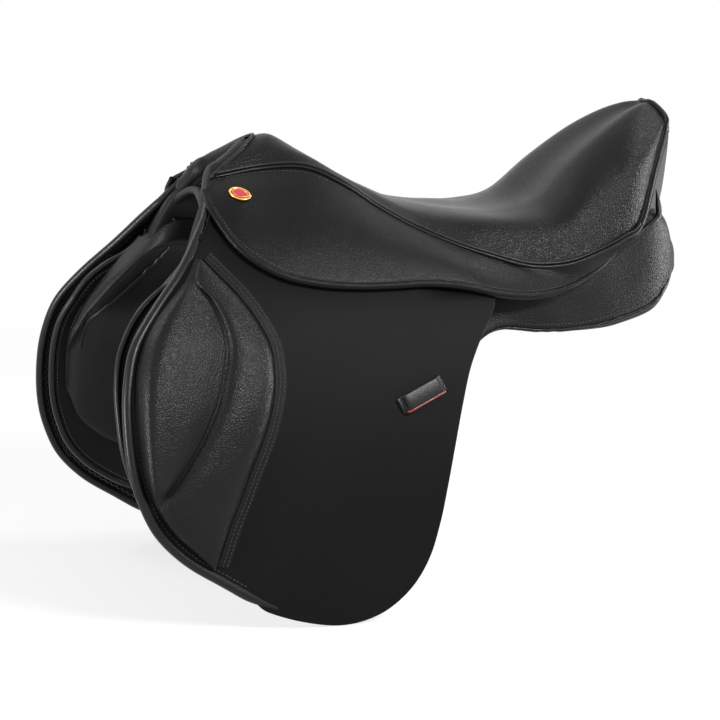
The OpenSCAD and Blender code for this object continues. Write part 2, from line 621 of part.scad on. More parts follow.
module sweat_flap(s) {
    color(leather)
        shell([for (u = steps(24)) [for (v = steps(8)) side(sweat_at(u, v, 0), s)]],
            [for (u = steps(24)) [for (v = steps(8)) side(sweat_at(u, v, sweat_t), s)]]);
}
module sweat_edge(s) {
    color(leather)
        on_side(s)
            sweep([for (u = steps(26, 0.01, sweat_roll_end)) let (p = edge_out(SWEAT, u, sweat_roll_r))
                    on_sweat(p[0], p[1], sweat_t / 2)],
                round_section(sweat_roll_r, 6), [0, 1, 0]);
}

// Panel rows from the rear forward: x, then four points w, z on the outer face from the gullet
// over the top and down the outside; ahead of the middle the outside lies on the sweat flap
PANEL = [
    [201, 44, 61, 54, 61, 61, 51, 63, 34],
    [190, 36, 82, 54, 84, 71, 68, 75, 22],
    [168, 34, 84, 52, 84, 84, 72, 89, 2],
    [128, 34, 52, 58, 52, 99, 46, 101, -8],
    [85, 34, 42, 64, 40, 104, 36, 106, -14],
    [40, 34, 36, 64, 35, 107, 26, 110, -12],
    [-5, 34, 38, 60, 40, 98, 24, 106, -10],
    [-45, 35, 46, 58, 48, 92, 32, 115, -44],
    [-85, 37, 56, 58, 58, 92, 38, 124, -92],
    [-130, 40, 70, 52, 67, 86, 42, 130, -126],
    [-175, 42, 82, 52, 72, 84, 44, 133, -146],
    [-215, 43, 88, 50, 76, 76, 46, 134, -152],
    [-250, 45, 96, 55, 80, 76, 58, 134, -152],
    [-272, 48, 90, 60, 77, 76, 61, 133, -148],
    [-290, 62, 68, 70, 64, 78, 58, 132, -144],
    [-308, 68, 50, 74, 46, 80, 40, 131, -136],
    [-326, 74, 32, 80, 27, 84, 20, 128, -124],
    [-342, 84, 10, 88, 5, 92, -2, 122, -108],
    [-352, 90, -12, 94, -18, 98, -26, 112, -84]];
// Offsets w, z from each of those points to the face that bears on the horse
PANEL_IN = [
    [-2, -26, -6, -34, -7, -26, -2, -4],
    [-2, -38, -10, -68, -14, -62, -3, -8],
    [0, -46, -4, -76, -18, -74, -5, -6],
    [0, -24, -8, -51, -26, -57, -5, -4],
    [0, -16, -12, -35, -28, -42, -4, -1],
    [0, -14, -12, -30, -29, -30, -4, 0],
    [0, -16, -10, -32, -26, -25, -6, -2],
    [0, -18, -10, -32, -24, -24, -12, -4],
    [-1, -20, -12, -28, -24, -18, -16, -4],
    [-2, -22, -14, -26, -24, -14, -16, -4],
    [-2, -22, -14, -24, -24, -12, -16, -4],
    [-2, -22, -14, -22, -24, -12, -16, -4],
    [-2, -20, -14, -18, -23, -12, -16, -4],
    [-4, -16, -16, -16, -23, -12, -16, -4],
    [-8, -8, -16, -12, -22, -12, -15, -4],
    [-8, -6, -16, -10, -22, -12, -15, -4],
    [-6, -6, -14, -9, -20, -10, -14, -4],
    [-5, -5, -11, -8, -15, -8, -11, -3],
    [-3, -3, -6, -5, -8, -5, -6, -2]];
sweat_bend = 10;      // height where the sweat flap bends
function under_sweat(z) = drape(z) - inset(z) - sweat_t - 1.6 * seat_gap - 4 * exp(-pow((z - sweat_bend) / 20, 2));
function panel_out(u, v) = let (r = along(PANEL, u), f = ease(-r[0] / 40), g = ease((-r[0] - 262) / 24),
        z2 = pz(r[6]), z3 = pz(r[8]),
        pts = [[lerp(r[1] - 34 + gullet_half, r[1], f), pz(r[2])],
            [lerp(r[3], min(r[3], under_sweat(pz(r[4]))), g), pz(r[4])],
            [lerp(pw(r[5]), under_sweat(z2), f), z2], [lerp(pw(r[7]), under_sweat(z3), f), z3]],
        q = v * 3, i = min(floor(q), 2), t = q - i,
        a = i > 0 ? pts[i - 1] : 2 * pts[0] - pts[1],
        c = i < 2 ? curve4(a, pts[i], pts[i + 1], pts[min(i + 2, 3)], t) : lerp(pts[2], pts[3], t),
        w = lerp(c[0], i < 2 ? min(c[0], under_sweat(c[1])) : under_sweat(c[1]), f))
    [px(r[0]), w, c[1]];
function panel_in(u, v) = let (r = along(PANEL, u), d = along(PANEL_IN, u), f = ease(-r[0] / 40),
        pts = [[d[0], d[1]], [d[2], d[3]], [d[4], d[5]], [d[6], d[7]]], p = along(pts, v) *
        lerp(1, panel_depth / 26, f))
    panel_out(u, v) + [0, p[0], p[1]];
module panel(s) {
    vs = [0, 0.17, 0.33, 0.5, 0.67, 0.76, 0.85, 0.93, 1];
    color(leather)
        shell([for (u = steps(32)) [for (v = vs) side(panel_out(u, v), s)]],
            [for (u = steps(32)) [for (v = vs) side(panel_in(u, v), s)]]);
}
// Roll of the panels that crosses the gullet below the head
ARCH = [[-271.5, -51, 95.4], [-275, -36, 111], [-271, -19, 120], [-268, 0, 124], [-271, 19, 120],
    [-275, 36, 111], [-271.5, 51, 95.4]];
module panel_arch() {
    color(leather)
        sweep([for (u = steps(14)) let (p = along(ARCH, u)) [px(p[0]), p[1], pz(p[2])]],
            round_section(arch_roll_r), [1, 0, 0]);
}

// Block in front of the knee, on the sweat flap below the flap: middle x, z and half width
BLOCK = [[-316, 14, 6], [-325, 2, 16], [-333, -20, 21], [-337, -48, 23], [-336, -80, 23], [-328, -110, 20],
    [-316, -134, 14], [-308, -146, 6]];
function block_at(u, v, h) = let (r = along(BLOCK, u)) on_sweat(px(r[0]) + r[2] * v, pz(r[1]), -2 * seat_gap - h);
module knee_block(s) {
    us = steps(10);
    vs = steps(6, -1, 1);
    color(leather)
        shell([for (u = us) [for (v = vs)
                side(block_at(u, v, 2 + (block_depth - 2) * pow(sin(180 * lerp(0.03, 0.97, u)), 0.6)
                    * pow(1 - pow(abs(v), 3), 0.7)), s)]],
            [for (u = us) [for (v = vs) side(block_at(u, v, 0), s)]]);
}

// ---- Girth straps ----

strap_depth = 23;     // depth of the straps below the flap's face
strap_top = [drape(0) - strap_depth, 0];
strap_foot = [drape(-strap_length) - strap_depth, -strap_length];
strap_dir = unit(strap_foot - strap_top);
strap_turn = atan2(strap_dir[0], -strap_dir[1]);   // lean of the straight part
strap_rear = px(-98);
function strap_x(i) = strap_rear - strap_pitch * (2 - i);
strap_line = concat([[wing_foot[1] - wing_t / 2, wing_foot[2] - 2.6]],
    [for (z = [55.5, 50, 40, 28, 14]) [drape(z) - strap_depth - 2, z]], [strap_top, strap_foot]);
function offset_line(line, d) = [for (i = [0:len(line) - 1]) let (
        t = unit(line[min(i + 1, len(line) - 1)] - line[max(i - 1, 0)]))
    line[i] + [-t[1], t[0]] * d];
module girth_strap(s, i) {
    holes_from = 26;
    color(leather)
        on_side(s)
            difference() {
                translate([strap_x(i) - strap_w / 2, 0, 0])
                    rotate([90, 0, 90])
                        linear_extrude(strap_w)
                            polygon(concat(offset_line(strap_line, strap_t / 2),
                                [for (k = [len(strap_line) - 1:-1:0]) offset_line(strap_line, -strap_t / 2)[k]]));
                for (k = [0:hole_count - 1])
                    translate([strap_x(i), strap_foot[0], strap_foot[1]]
                            - [0, strap_dir[0], strap_dir[1]] * (holes_from + k * hole_pitch))
                        rotate([strap_turn - 90, 0, 0])
                            cylinder(r = hole_r, h = 4 * strap_t, center = true, $fn = 32);
            }
}
// Sleeve that slides over the three buckles, with a tunnel for each strap that leaves it room to swing
strap_play = 19;
module buckle_guard(s) {
    tunnel = strap_w + strap_play;
    width = 2 * strap_pitch + tunnel + 2 * guard_t;
    room = strap_t + 2 * guard_clear;
    deep = room + 2 * guard_t;
    color(leather)
        on_side(s)
            translate([strap_x(1), strap_top[0] + strap_dir[0] * 8, strap_dir[1] * 8])
                rotate([strap_turn, 0, 0])
                    translate([0, 0, -guard_h])
                        difference() {
                            translate([-width / 2, -deep / 2, 0])
                                cube([width, deep, guard_h]);
                            for (i = [-1:1])
                                translate([i * strap_pitch - tunnel / 2, -room / 2, -1])
                                    cube([tunnel, room, guard_h + 2]);
                        }
}

seat_cover();
seat_foam();
seat_welts();
pommel_welt();
pommel_facing();
cantle_facing();
tree_head();
tree_cantle();
tree_rail(-1);  // tree_rail_left
tree_rail(1);  // tree_rail_right
tree_wing(-1);  // tree_wing_left
tree_wing(1);  // tree_wing_right
tree_point(-1);  // tree_point_left
tree_point(1);  // tree_point_right
gullet_plate();
head_rivets();
tree_springs();
straining_web();
skirt(-1);  // skirt_left
skirt(1);  // skirt_right
skirt_edge(-1);  // skirt_edge_left
skirt_edge(1);  // skirt_edge_right
skirt_root(-1);  // skirt_root_left
skirt_root(1);  // skirt_root_right
head_badge(-1);  // head_badge_left
head_badge(1);  // head_badge_right
stirrup_bar(-1);  // stirrup_bar_left
stirrup_bar(1);  // stirrup_bar_right
bar_catch(-1);  // bar_catch_left
bar_catch(1);  // bar_catch_right
flap(-1);  // flap_left
flap(1);  // flap_right
flap_band(-1);  // flap_band_left
flap_band(1);  // flap_band_right
flap_roll(-1);  // flap_roll_left
flap_roll(1);  // flap_roll_right
knee_pad(-1);  // knee_pad_left
knee_pad(1);  // knee_pad_right
leather_keeper(-1);  // leather_keeper_left
leather_keeper(1);  // leather_keeper_right
sweat_flap(-1);  // sweat_flap_left
sweat_flap(1);  // sweat_flap_right
sweat_edge(-1);  // sweat_edge_left
sweat_edge(1);  // sweat_edge_right
panel(-1);  // panel_left
panel(1);  // panel_right
panel_arch();
knee_block(-1);  // knee_block_left
knee_block(1);  // knee_block_right
point_pocket(-1);  // point_pocket_left
point_pocket(1);  // point_pocket_right
girth_strap(-1, 0);  // girth_strap_front_left
girth_strap(1, 0);  // girth_strap_front_right
girth_strap(-1, 1);  // girth_strap_middle_left
girth_strap(1, 1);  // girth_strap_middle_right
girth_strap(-1, 2);  // girth_strap_rear_left
girth_strap(1, 2);  // girth_strap_rear_right
buckle_guard(-1);  // buckle_guard_left
buckle_guard(1);  // buckle_guard_right
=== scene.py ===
import math
import bpy
import bmesh
import numpy as np
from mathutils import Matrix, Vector


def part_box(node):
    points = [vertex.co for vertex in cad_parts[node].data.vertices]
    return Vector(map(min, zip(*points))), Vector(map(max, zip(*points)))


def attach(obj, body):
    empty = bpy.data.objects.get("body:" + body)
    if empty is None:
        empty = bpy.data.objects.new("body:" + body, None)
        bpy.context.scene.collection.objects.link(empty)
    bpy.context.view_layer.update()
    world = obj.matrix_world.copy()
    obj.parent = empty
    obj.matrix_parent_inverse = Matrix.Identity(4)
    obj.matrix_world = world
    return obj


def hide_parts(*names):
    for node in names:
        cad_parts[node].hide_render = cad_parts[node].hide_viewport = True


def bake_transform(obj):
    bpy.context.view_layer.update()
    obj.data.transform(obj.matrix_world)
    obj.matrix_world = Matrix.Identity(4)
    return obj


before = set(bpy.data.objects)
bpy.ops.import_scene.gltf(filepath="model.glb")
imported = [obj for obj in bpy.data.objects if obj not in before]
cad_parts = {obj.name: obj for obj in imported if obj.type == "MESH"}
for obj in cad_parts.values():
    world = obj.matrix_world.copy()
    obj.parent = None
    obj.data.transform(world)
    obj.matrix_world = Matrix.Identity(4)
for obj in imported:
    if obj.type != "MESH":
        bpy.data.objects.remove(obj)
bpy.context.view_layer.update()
print("saddle: frame loaded")

metres = 0.001      # lengths below are written in mm
mirrored = {"left": -1, "right": 1}
steps = np.linspace


# ---- curves and grids ----

def ease(t):        # 3t^2 - 2t^3, held between 0 and 1
    s = np.clip(t, 0, 1)
    return s * s * (3 - 2 * s)


def mix(a, b, t):   # a at t 0, b at t 1
    return a + (b - a) * t


def unit(v):        # each vector divided by its own length
    return v / np.maximum(np.linalg.norm(v, axis=-1, keepdims=True), 1e-9)


def curve(a, b, c, d, t):   # smooth curve from b to c, steered by a and d before and after them
    bend, twist = 2 * a - 5 * b + 4 * c - d, 3 * b - a - 3 * c + d
    return b + (c - a) * (t / 2) + bend * (t * t / 2) + twist * (t ** 3 / 2)


def along(rows, u):         # that curve through the rows of a table, u from 0 to 1 over its length
    rows = np.asarray(rows, float)
    if rows.ndim == 1:
        rows = rows[:, None]
    n = len(rows) - 1
    s = np.clip(u, 0, 1) * n
    i = np.minimum(s.astype(int), n - 1)
    r = np.vstack([2 * rows[0] - rows[1], rows, 2 * rows[-1] - rows[-2]])
    return curve(r[i], r[i + 1], r[i + 2], r[i + 3], (s - i)[..., None])


def across(rows, q):        # the same curve through the points of each row, q counted in points
    i = np.minimum(q.astype(int), rows.shape[-2] - 4)
    pick = lambda k: np.take_along_axis(rows, (i + k)[..., None, None], -2)[..., 0, :]
    return curve(pick(0), pick(1), pick(2), pick(3), (q - i)[..., None])


def lengths(p):             # length from the first point to each one
    return np.r_[0, np.cumsum(np.linalg.norm(np.diff(p, axis=0), axis=1))]


def sampled(p, s, at):      # the points at the lengths asked for
    return np.stack([np.interp(at, s, p[:, k]) for k in range(p.shape[1])], -1)


def smoothPath(points, n):  # the curve through the points, cut into n equal lengths
    p = along(points, steps(0, 1, 12 * len(points)))
    s = lengths(p)
    return sampled(p, s, steps(0, s[-1], n))


def grid(u, v):
    return np.meshgrid(u, v, indexing="ij")


def alike(u, v):            # both as arrays of one shape
    return np.broadcast_arrays(np.asarray(u, float), np.asarray(v, float))


def taper(at, first, firstRate, last, lastRate):    # shares of a radius, less at both ends of a line
    return mix(first, 1, ease(at * firstRate)) * mix(last, 1, ease((1 - at) * lastRate))


def point(x, y, z):
    return np.stack(np.broadcast_arrays(x, y, z), -1)


def normalsOf(g, facing):   # cross product of the two directions of a grid, turned to face one way
    n = unit(np.cross(np.gradient(g, axis=0), np.gradient(g, axis=1)))
    return n if (n @ np.asarray(facing, float)).sum() > 0 else -n


def soft(p, wave, height, turn=0.0):    # gentle unevenness: three crossed sine waves added up
    x, y, z = (p[..., k] * (2 * math.pi / wave) for k in range(3))
    return height / 3 * (np.sin(x + 0.7 * y + turn) + np.sin(0.8 * y + 1.1 * z + 2 * turn)
                         + np.sin(0.9 * z - 0.6 * x + 3 * turn))


# ---- solids from grids ----

def cells(n, m, wrap=False):    # four corners of each cell of an n by m grid
    i = np.arange(n * m).reshape(n, m)
    if wrap:
        i = np.hstack([i, i[:, :1]])
    return np.stack([i[:-1, :-1], i[1:, :-1], i[1:, 1:], i[:-1, 1:]], -1).reshape(-1, 4)


def border(n, m):               # indices round the edge of a grid, and which of its four sides each is on
    i = np.arange(n * m).reshape(n, m)
    ring = np.r_[i[0, :-1], i[:-1, -1], i[-1, :0:-1], i[:0:-1, 0]]
    side = np.r_[np.zeros(m - 1), np.ones(n - 1), np.full(m - 1, 2), np.full(n - 1, 3)]
    return ring, side


def slab(g, thick, facing, rim=0.5, flat=(), normals=None):
    # leather of one thickness: the grid, the grid moved in along its normals, and a rounded edge
    # p - n t (1 - cos a) / 2 + e rim t sin a between them, except along the sides named as flat
    n, m = g.shape[:2]
    nor = normalsOf(g, facing) if normals is None else normals
    deep = thick if np.isscalar(thick) else thick[..., None]
    ring, side = border(n, m)
    p, q = g.reshape(-1, 3)[ring], nor.reshape(-1, 3)[ring]
    t = thick if np.isscalar(thick) else thick.reshape(-1)[ring][:, None]
    tangent = unit(np.roll(p, -1, 0) - np.roll(p, 1, 0))
    out = unit(np.cross(tangent, q))
    if (out * (p - p.mean(0))).sum() < 0:
        out = -out
    reach = np.where(np.isin(side, flat), 0.0, rim)[:, None]
    turns = [p - q * t * (1 - math.cos(a)) / 2 + out * reach * t * math.sin(a)
             for a in (0.6, 1.2, 1.9, 2.5)]
    verts = np.vstack([g.reshape(-1, 3), (g - nor * deep).reshape(-1, 3)] + turns)
    k, size = len(ring), n * m
    loops = [ring] + [2 * size + j * k + np.arange(k) for j in range(4)] + [size + ring]
    walls = [np.stack([a, np.roll(a, -1), np.roll(b, -1), b], -1) for a, b in zip(loops[:-1], loops[1:])]
    return verts, np.vstack([cells(n, m), cells(n, m) + size] + walls)


def tube(path, radius, steady=(0, 1, 0), around=12, blunt=False):
    # circle p + r (cos a n + sin a b) carried along a path and closed at both ends
    p = np.asarray(path, float)
    r = np.broadcast_to(np.asarray(radius, float), len(p)).copy()
    t = unit(np.gradient(p, axis=0))
    n = unit(np.cross(np.asarray(steady, float), t))
    b = np.cross(t, n)
    f = np.radians([0] if blunt else [30, 60, 90])
    s, c = (np.zeros(1), np.zeros(1)) if blunt else (np.sin(f), np.cos(f))
    first = lambda a: np.repeat(a[:1], len(s), 0)
    last = lambda a: np.repeat(a[-1:], len(s), 0)
    p = np.vstack([p[:1] - t[:1] * (r[0] * s[::-1])[:, None], p, p[-1:] + t[-1:] * (r[-1] * s)[:, None]])
    r = np.r_[r[0] * c[::-1], r, r[-1] * c]
    n, b = np.vstack([first(n), n, last(n)]), np.vstack([first(b), b, last(b)])
    a = steps(0, 2 * math.pi, around, endpoint=False)
    spoke = np.cos(a)[:, None] * n[:, None] + np.sin(a)[:, None] * b[:, None]
    ring = p[:, None] + r[:, None, None] * spoke
    return ring.reshape(-1, 3), cells(len(p), around, wrap=True)


def stitches(path, outward, pitch=4.2, long=3.1, thread=0.42, swing=0.0):
    # threads of a seam: a short bar bent down at both ends, repeated every pitch along the path;
    # swing turns every other one to the other side, as in a zigzag
    s = lengths(path)
    at = np.arange(pitch / 2, s[-1], pitch)
    p = sampled(path, s, at)
    n, t = unit(sampled(outward, s, at)), unit(sampled(np.gradient(path, axis=0), s, at))
    b = np.cross(n, t)
    turn = (swing * np.where(np.arange(len(at)) % 2, 1, -1))[:, None]
    t, b = t * np.cos(turn) + b * np.sin(turn), b * np.cos(turn) - t * np.sin(turn)
    x = np.array([-0.5, -0.36, 0, 0.36, 0.5]) * long
    r = np.array([0, 0.85, 1, 0.85, 0]) * thread
    h = np.array([-0.8, 0.2, 0.5, 0.2, -0.8]) * thread
    a = steps(0, 2 * math.pi, 6, endpoint=False)
    shape = point(x[:, None], r[:, None] * np.cos(a), h[:, None] + r[:, None] * np.sin(a)).reshape(-1, 3)
    v = p[:, None] + t[:, None] * shape[:, :1] + b[:, None] * shape[:, 1:2] + n[:, None] * shape[:, 2:]
    f = cells(5, 6, wrap=True)
    return v.reshape(-1, 3), (f + (np.arange(len(at)) * 30)[:, None, None]).reshape(-1, 4)


def cushion(g, base):            # a padded face and the flat one below it, closed all round
    n, m = g.shape[:2]
    ring = border(n, m)[0]
    after, below = np.roll(ring, -1), n * m
    wall = np.stack([ring, after, after + below, ring + below], -1)
    verts = np.vstack([g.reshape(-1, 3), base.reshape(-1, 3)])
    return verts, np.vstack([cells(n, m), cells(n, m) + below, wall])


# pitch, length and radius of a stitch
seam = {"flap": (4.0, 3.0), "body": (3.8, 2.8), "fine": (3.8, 2.8, 0.36), "front": (3.6, 2.7),
        "pad": (3.6, 2.7, 0.36), "sweat": (3.8, 2.9), "keeper": (3.2, 2.4, 0.36)}


def join(*shapes):              # several shapes as one
    start = np.cumsum([0] + [len(v) for v, f in shapes[:-1]])
    return np.vstack([v for v, f in shapes]), np.vstack([f + k for (v, f), k in zip(shapes, start)])


def layOn(path, g, nor, n, lift=0.0):
    # a line laid on a surface: each point goes to the nearest grid point, and the line is then smoothed
    p = smoothPath(path, n)
    flatG, flatN = g.reshape(-1, 3), nor.reshape(-1, 3)
    near = ((p[:, None] - flatG[None]) ** 2).sum(-1).argmin(1)
    q, m = flatG[near], flatN[near]
    for _ in range(6):
        q[1:-1] = (q[:-2] + 2 * q[1:-1] + q[2:]) / 4
        m[1:-1] = (m[:-2] + 2 * m[1:-1] + m[2:]) / 4
    return q + unit(m) * lift, unit(m)


def sided(part, side):          # the name of a part on its side; the root and the middle pieces have none
    return part if side is None or part == "root" else part + "_" + side


def add(name, data):
    o = bpy.data.objects.new(name, data)
    bpy.context.scene.collection.objects.link(o)
    return o


# one object in metres, mirrored for the left side, with doubles welded and sharp corners kept sharp
def piece(name, shape, finish, body=None, side=None, replaces=()):
    verts, faces = shape
    name = sided(name, side)
    mesh = bpy.data.meshes.new(name)
    mesh.vertices.add(len(verts))
    verts = verts * np.array([1, mirrored.get(side, 1), 1]) * metres
    mesh.vertices.foreach_set("co", verts.astype(np.float32).ravel())
    mesh.loops.add(len(faces) * 4)
    mesh.loops.foreach_set("vertex_index", faces.astype(np.int32).ravel())
    mesh.polygons.add(len(faces))
    mesh.polygons.foreach_set("loop_start", np.arange(0, len(faces) * 4, 4, dtype=np.int32))
    mesh.update(calc_edges=True)
    bm = bmesh.new()
    bm.from_mesh(mesh)
    bmesh.ops.remove_doubles(bm, verts=bm.verts, dist=3e-6)
    bmesh.ops.dissolve_degenerate(bm, edges=bm.edges, dist=1e-6)
    bmesh.ops.recalc_face_normals(bm, faces=bm.faces)
    for f in bm.faces:
        f.smooth = True
    for e in bm.edges:
        e.smooth = e.calc_face_angle(0) < 1.1
    bm.to_mesh(mesh)
    bm.free()
    o = add(name, mesh)
    mesh.materials.append(finish)
    if body:
        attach(o, sided(body, side))
    if replaces:
        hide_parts(*(sided(node, side) for node in replaces))
    return o


# ---- finishes ----

class Wire:     # a socket that shader maths is written with
    def __init__(self, paint, socket):
        self.paint, self.socket = paint, socket

    def maths(self, kind, a, b):
        return self.paint.node("ShaderNodeMath", {"operation": kind}, {0: a, 1: b})

    def held(self):     # between 0 and 1
        return self.paint.node("ShaderNodeClamp", {}, {0: self})

    __add__ = __radd__ = lambda self, other: self.maths("ADD", self, other)
    __mul__ = __rmul__ = lambda self, other: self.maths("MULTIPLY", self, other)
    __sub__ = lambda self, other: self.maths("SUBTRACT", self, other)
    __rsub__ = lambda self, other: self.maths("SUBTRACT", other, self)


class Paint:    # one material, with its nodes made by name
    def __init__(self, name):
        self.material = bpy.data.materials.new(name)
        self.material.use_nodes = True
        self.tree = self.material.node_tree
        self.tree.nodes.clear()
        self.place = self.node("ShaderNodeTexCoord", {}, {}, out="Object")

    def node(self, kind, settings, inputs, out=0):
        n = self.tree.nodes.new(kind)
        for key, value in settings.items():
            if key == "stops":
                ramp = n.color_ramp
                for k, (at, grey) in enumerate(value):
                    stop = ramp.elements[k] if k < 2 else ramp.elements.new(at)
                    stop.position, stop.color = at, (grey, grey, grey, 1)
            else:
                setattr(n, key, value)
        for key, value in inputs.items():
            if isinstance(value, Wire):
                self.tree.links.new(value.socket, n.inputs[key])
            else:
                n.inputs[key].default_value = value
        return Wire(self, n.outputs[out])

    def noise(self, scale, detail=2.0, rough=0.5, where=None):
        return self.node("ShaderNodeTexNoise", {}, {"Vector": where or self.place, "Scale": scale,
                                                    "Detail": detail, "Roughness": rough})

    def pebbles(self, scale, where=None, feature="DISTANCE_TO_EDGE"):
        return self.node("ShaderNodeTexVoronoi", {"feature": feature},
                         {"Vector": where or self.place, "Scale": scale}, out="Distance")

    def ramp(self, value, *stops):
        return self.node("ShaderNodeValToRGB", {"stops": stops}, {0: value})

    def tint(self, share, a, b):
        return self.node("ShaderNodeMix", {"data_type": "RGBA"}, {0: share, 6: a, 7: b}, out=2)

    def stretched(self, size, turn=(0, 0, 0)):
        return self.node("ShaderNodeMapping", {}, {"Vector": self.place, "Scale": size, "Rotation": turn})

    def wave(self, direction, scale, distortion=0.0):
        return self.node("ShaderNodeTexWave", {"bands_direction": direction},
                         {"Vector": self.place, "Scale": scale, "Distortion": distortion})

    def bump(self, height, depth):
        return self.node("ShaderNodeBump", {}, {"Height": height, "Distance": depth, "Strength": 1.0})

    def close(self, shader):
        out = self.tree.nodes.new("ShaderNodeOutputMaterial")
        self.tree.links.new(shader.socket, out.inputs[0])
        return self.material

    def finish(self, colour, rough, normal, **more):
        inputs = {k.replace("_", " "): v for k, v in more.items()}
        inputs.update({"Base Color": colour, "Roughness": rough, "Normal": normal})
        return self.close(self.node("ShaderNodeBsdfPrincipled", {}, inputs))


def shade(colour, red, green, blue):
    return colour[0] * red, colour[1] * green, colour[2] * blue, 1


leatherLook = {
    "black": (0.0068, 0.0067, 0.0076, 1),       # flap leather, cool and matt
    "softBlack": (0.0066, 0.0061, 0.0064, 1),   # seat and panel leather
    "worn": (0.0125, 0.0114, 0.0118, 1),
    "crease": 0.35}     # how far the valleys of the grain darken and dull it


def leather(name, colour, pebble, depth, rough, shift, shine):
    # grained leather: pebbles with soft edges over a finer grain; valleys are duller and darker,
    # and broad cloudy patches change the gloss
    p = Paint(name)
    crease = leatherLook["crease"]
    push = p.node("ShaderNodeTexNoise", {}, {"Vector": p.place, "Scale": 400 / pebble, "Detail": 1.0},
                  out="Color")
    warp = p.node("ShaderNodeVectorMath", {"operation": "MULTIPLY_ADD"},
                  {0: push, 1: (0.0006 * pebble,) * 3, 2: p.place})
    grain = p.ramp(p.pebbles(1000 / pebble, warp), (0, 0), (0.3, 1))
    fine = p.noise(2600 / pebble, 3.0, 0.6)
    pores = p.noise(5200 / pebble, 1.0)
    cloud = p.noise(14, 3.0)
    streak = p.noise(7, 2.0, where=p.stretched((1, 2.4, 2.0), (0.3, 0.5, 0.2)))
    height = grain * 0.62 + fine * 0.3 + pores * 0.12
    worn = (cloud * 0.6 + streak * 0.5 - 0.35).held()
    share = (worn * 0.8 - (1 - grain) * 0.3 * crease).held()
    base = p.tint(share, leatherLook[colour], leatherLook["worn"])
    roughness = (cloud - 0.5) * shift + (streak - 0.5) * shift + (1 - grain) * 0.12 * crease + rough
    return p.finish(base, roughness.held(), p.bump(height, depth * metres), Specular_IOR_Level=shine)


def threadFinish(name, colour, rough):
    p = Paint(name)
    twist = p.wave("DIAGONAL", 700.0, 1.0)
    base = p.tint(twist * 0.7, colour, shade(colour, 2.2, 2.2, 2.2))
    return p.finish(base, rough + twist * 0.15, p.bump(twist, 0.0001))


def metal(name, colour, rough, brushed):
    p = Paint(name)
    lines = p.noise(300, 2.0, where=p.stretched((0.05, 1, 1)))
    spots = p.noise(60, 4.0)
    base = p.tint(spots * 0.5, colour, shade(colour, 0.75, 0.75, 0.78))
    return p.finish(base, (rough + (spots - 0.5) * 0.2 + lines * 0.1 * brushed).held(),
                    p.bump(lines + spots * 0.5, 0.00006 * brushed), Metallic=1.0)


def plyWood(name):
    p = Paint(name)
    rings = p.wave("Z", 90.0, 2.0)
    fibre = p.noise(260, 3.0, where=p.stretched((0.06, 1, 1)))
    base = p.tint((rings * 0.5 + fibre * 0.5).held(), (0.30, 0.17, 0.075, 1), (0.55, 0.36, 0.19, 1))
    return p.finish(base, 0.5 + fibre * 0.2, p.bump(fibre + rings * 0.4, 0.0002))


def wovenFinish(name, colour, scale):
    p = Paint(name)
    over, under = p.wave("X", scale), p.wave("Y", scale)
    weave = over * under + (1 - over) * (1 - under)
    base = p.tint(weave, shade(colour, 0.6, 0.6, 0.6), colour)
    return p.finish(base, 0.85 - weave * 0.1, p.bump(weave, 0.0004))


def foamFinish(name, colour):
    p = Paint(name)
    holes = p.pebbles(700, feature="F1")
    base = p.tint(holes, colour, shade(colour, 0.6, 0.55, 0.45))
    return p.finish(base, 0.9 - holes * 0.1, p.bump(holes, 0.0005))


def glazed(name, dark, light, patches, rough, swing, bumps, depth, coat):
    p = Paint(name)
    cloud = p.noise(*patches)
    return p.finish(p.tint(cloud, dark, light), rough + cloud * swing, p.bump(p.noise(*bumps), depth),
                    Coat_Weight=coat)


# colour, pebble mm, bump depth mm, roughness, its swing, specular level
leathers = {"seat": ("softBlack", 2.1, 0.26, 0.28, 0.10, 0.15),
            "welt": ("softBlack", 1.2, 0.05, 0.26, 0.06, 0.24),
            "skirt": ("softBlack", 1.5, 0.14, 0.28, 0.08, 0.12),
            "flap": ("black", 0.8, 0.035, 0.48, 0.05, 0.06),
            "pad": ("softBlack", 2.2, 0.22, 0.30, 0.06, 0.17),
            "panel": ("softBlack", 2.2, 0.20, 0.36, 0.08, 0.17),
            "sweat": ("softBlack", 1.6, 0.10, 0.46, 0.06, 0.12),
            "strap": ("black", 1.4, 0.10, 0.5, 0.08, 0.15)}
(seatLeather, weltLeather, skirtLeather, flapLeather, padLeather, panelLeather, sweatLeather,
 strapLeather) = (leather(name + "Leather", *look) for name, look in leathers.items())
blackThread = threadFinish("blackThread", (0.03, 0.03, 0.032, 1), 0.5)
greyThread = threadFinish("greyThread", (0.035, 0.034, 0.036, 1), 0.6)
enamel = glazed("redEnamel", (0.50, 0.012, 0.035, 1), (0.62, 0.03, 0.06, 1), (180, 2.0), 0.22, 0.08,
                (500, 2.0), 0.00012, 0.6)
redEdge = glazed("redEdge", (0.16, 0.008, 0.010, 1), (0.28, 0.02, 0.018, 1), (90, 3.0), 0.32, 0.15,
                 (90, 3.0), 0.0002, 0.3)
gilt = metal("gilt", (0.83, 0.52, 0.14, 1), 0.26, 0.4)
steel = metal("barSteel", (0.50, 0.51, 0.53, 1), 0.30, 1.0)
darkSteel = metal("springSteel", (0.22, 0.23, 0.25, 1), 0.42, 1.0)
wood = plyWood("beechPly")
webbing = wovenFinish("webbing", (0.62, 0.56, 0.42, 1), 260.0)
foam = foamFinish("seatFoam", (0.72, 0.60, 0.34, 1))
print("saddle: finishes made")

# ---- seat ----

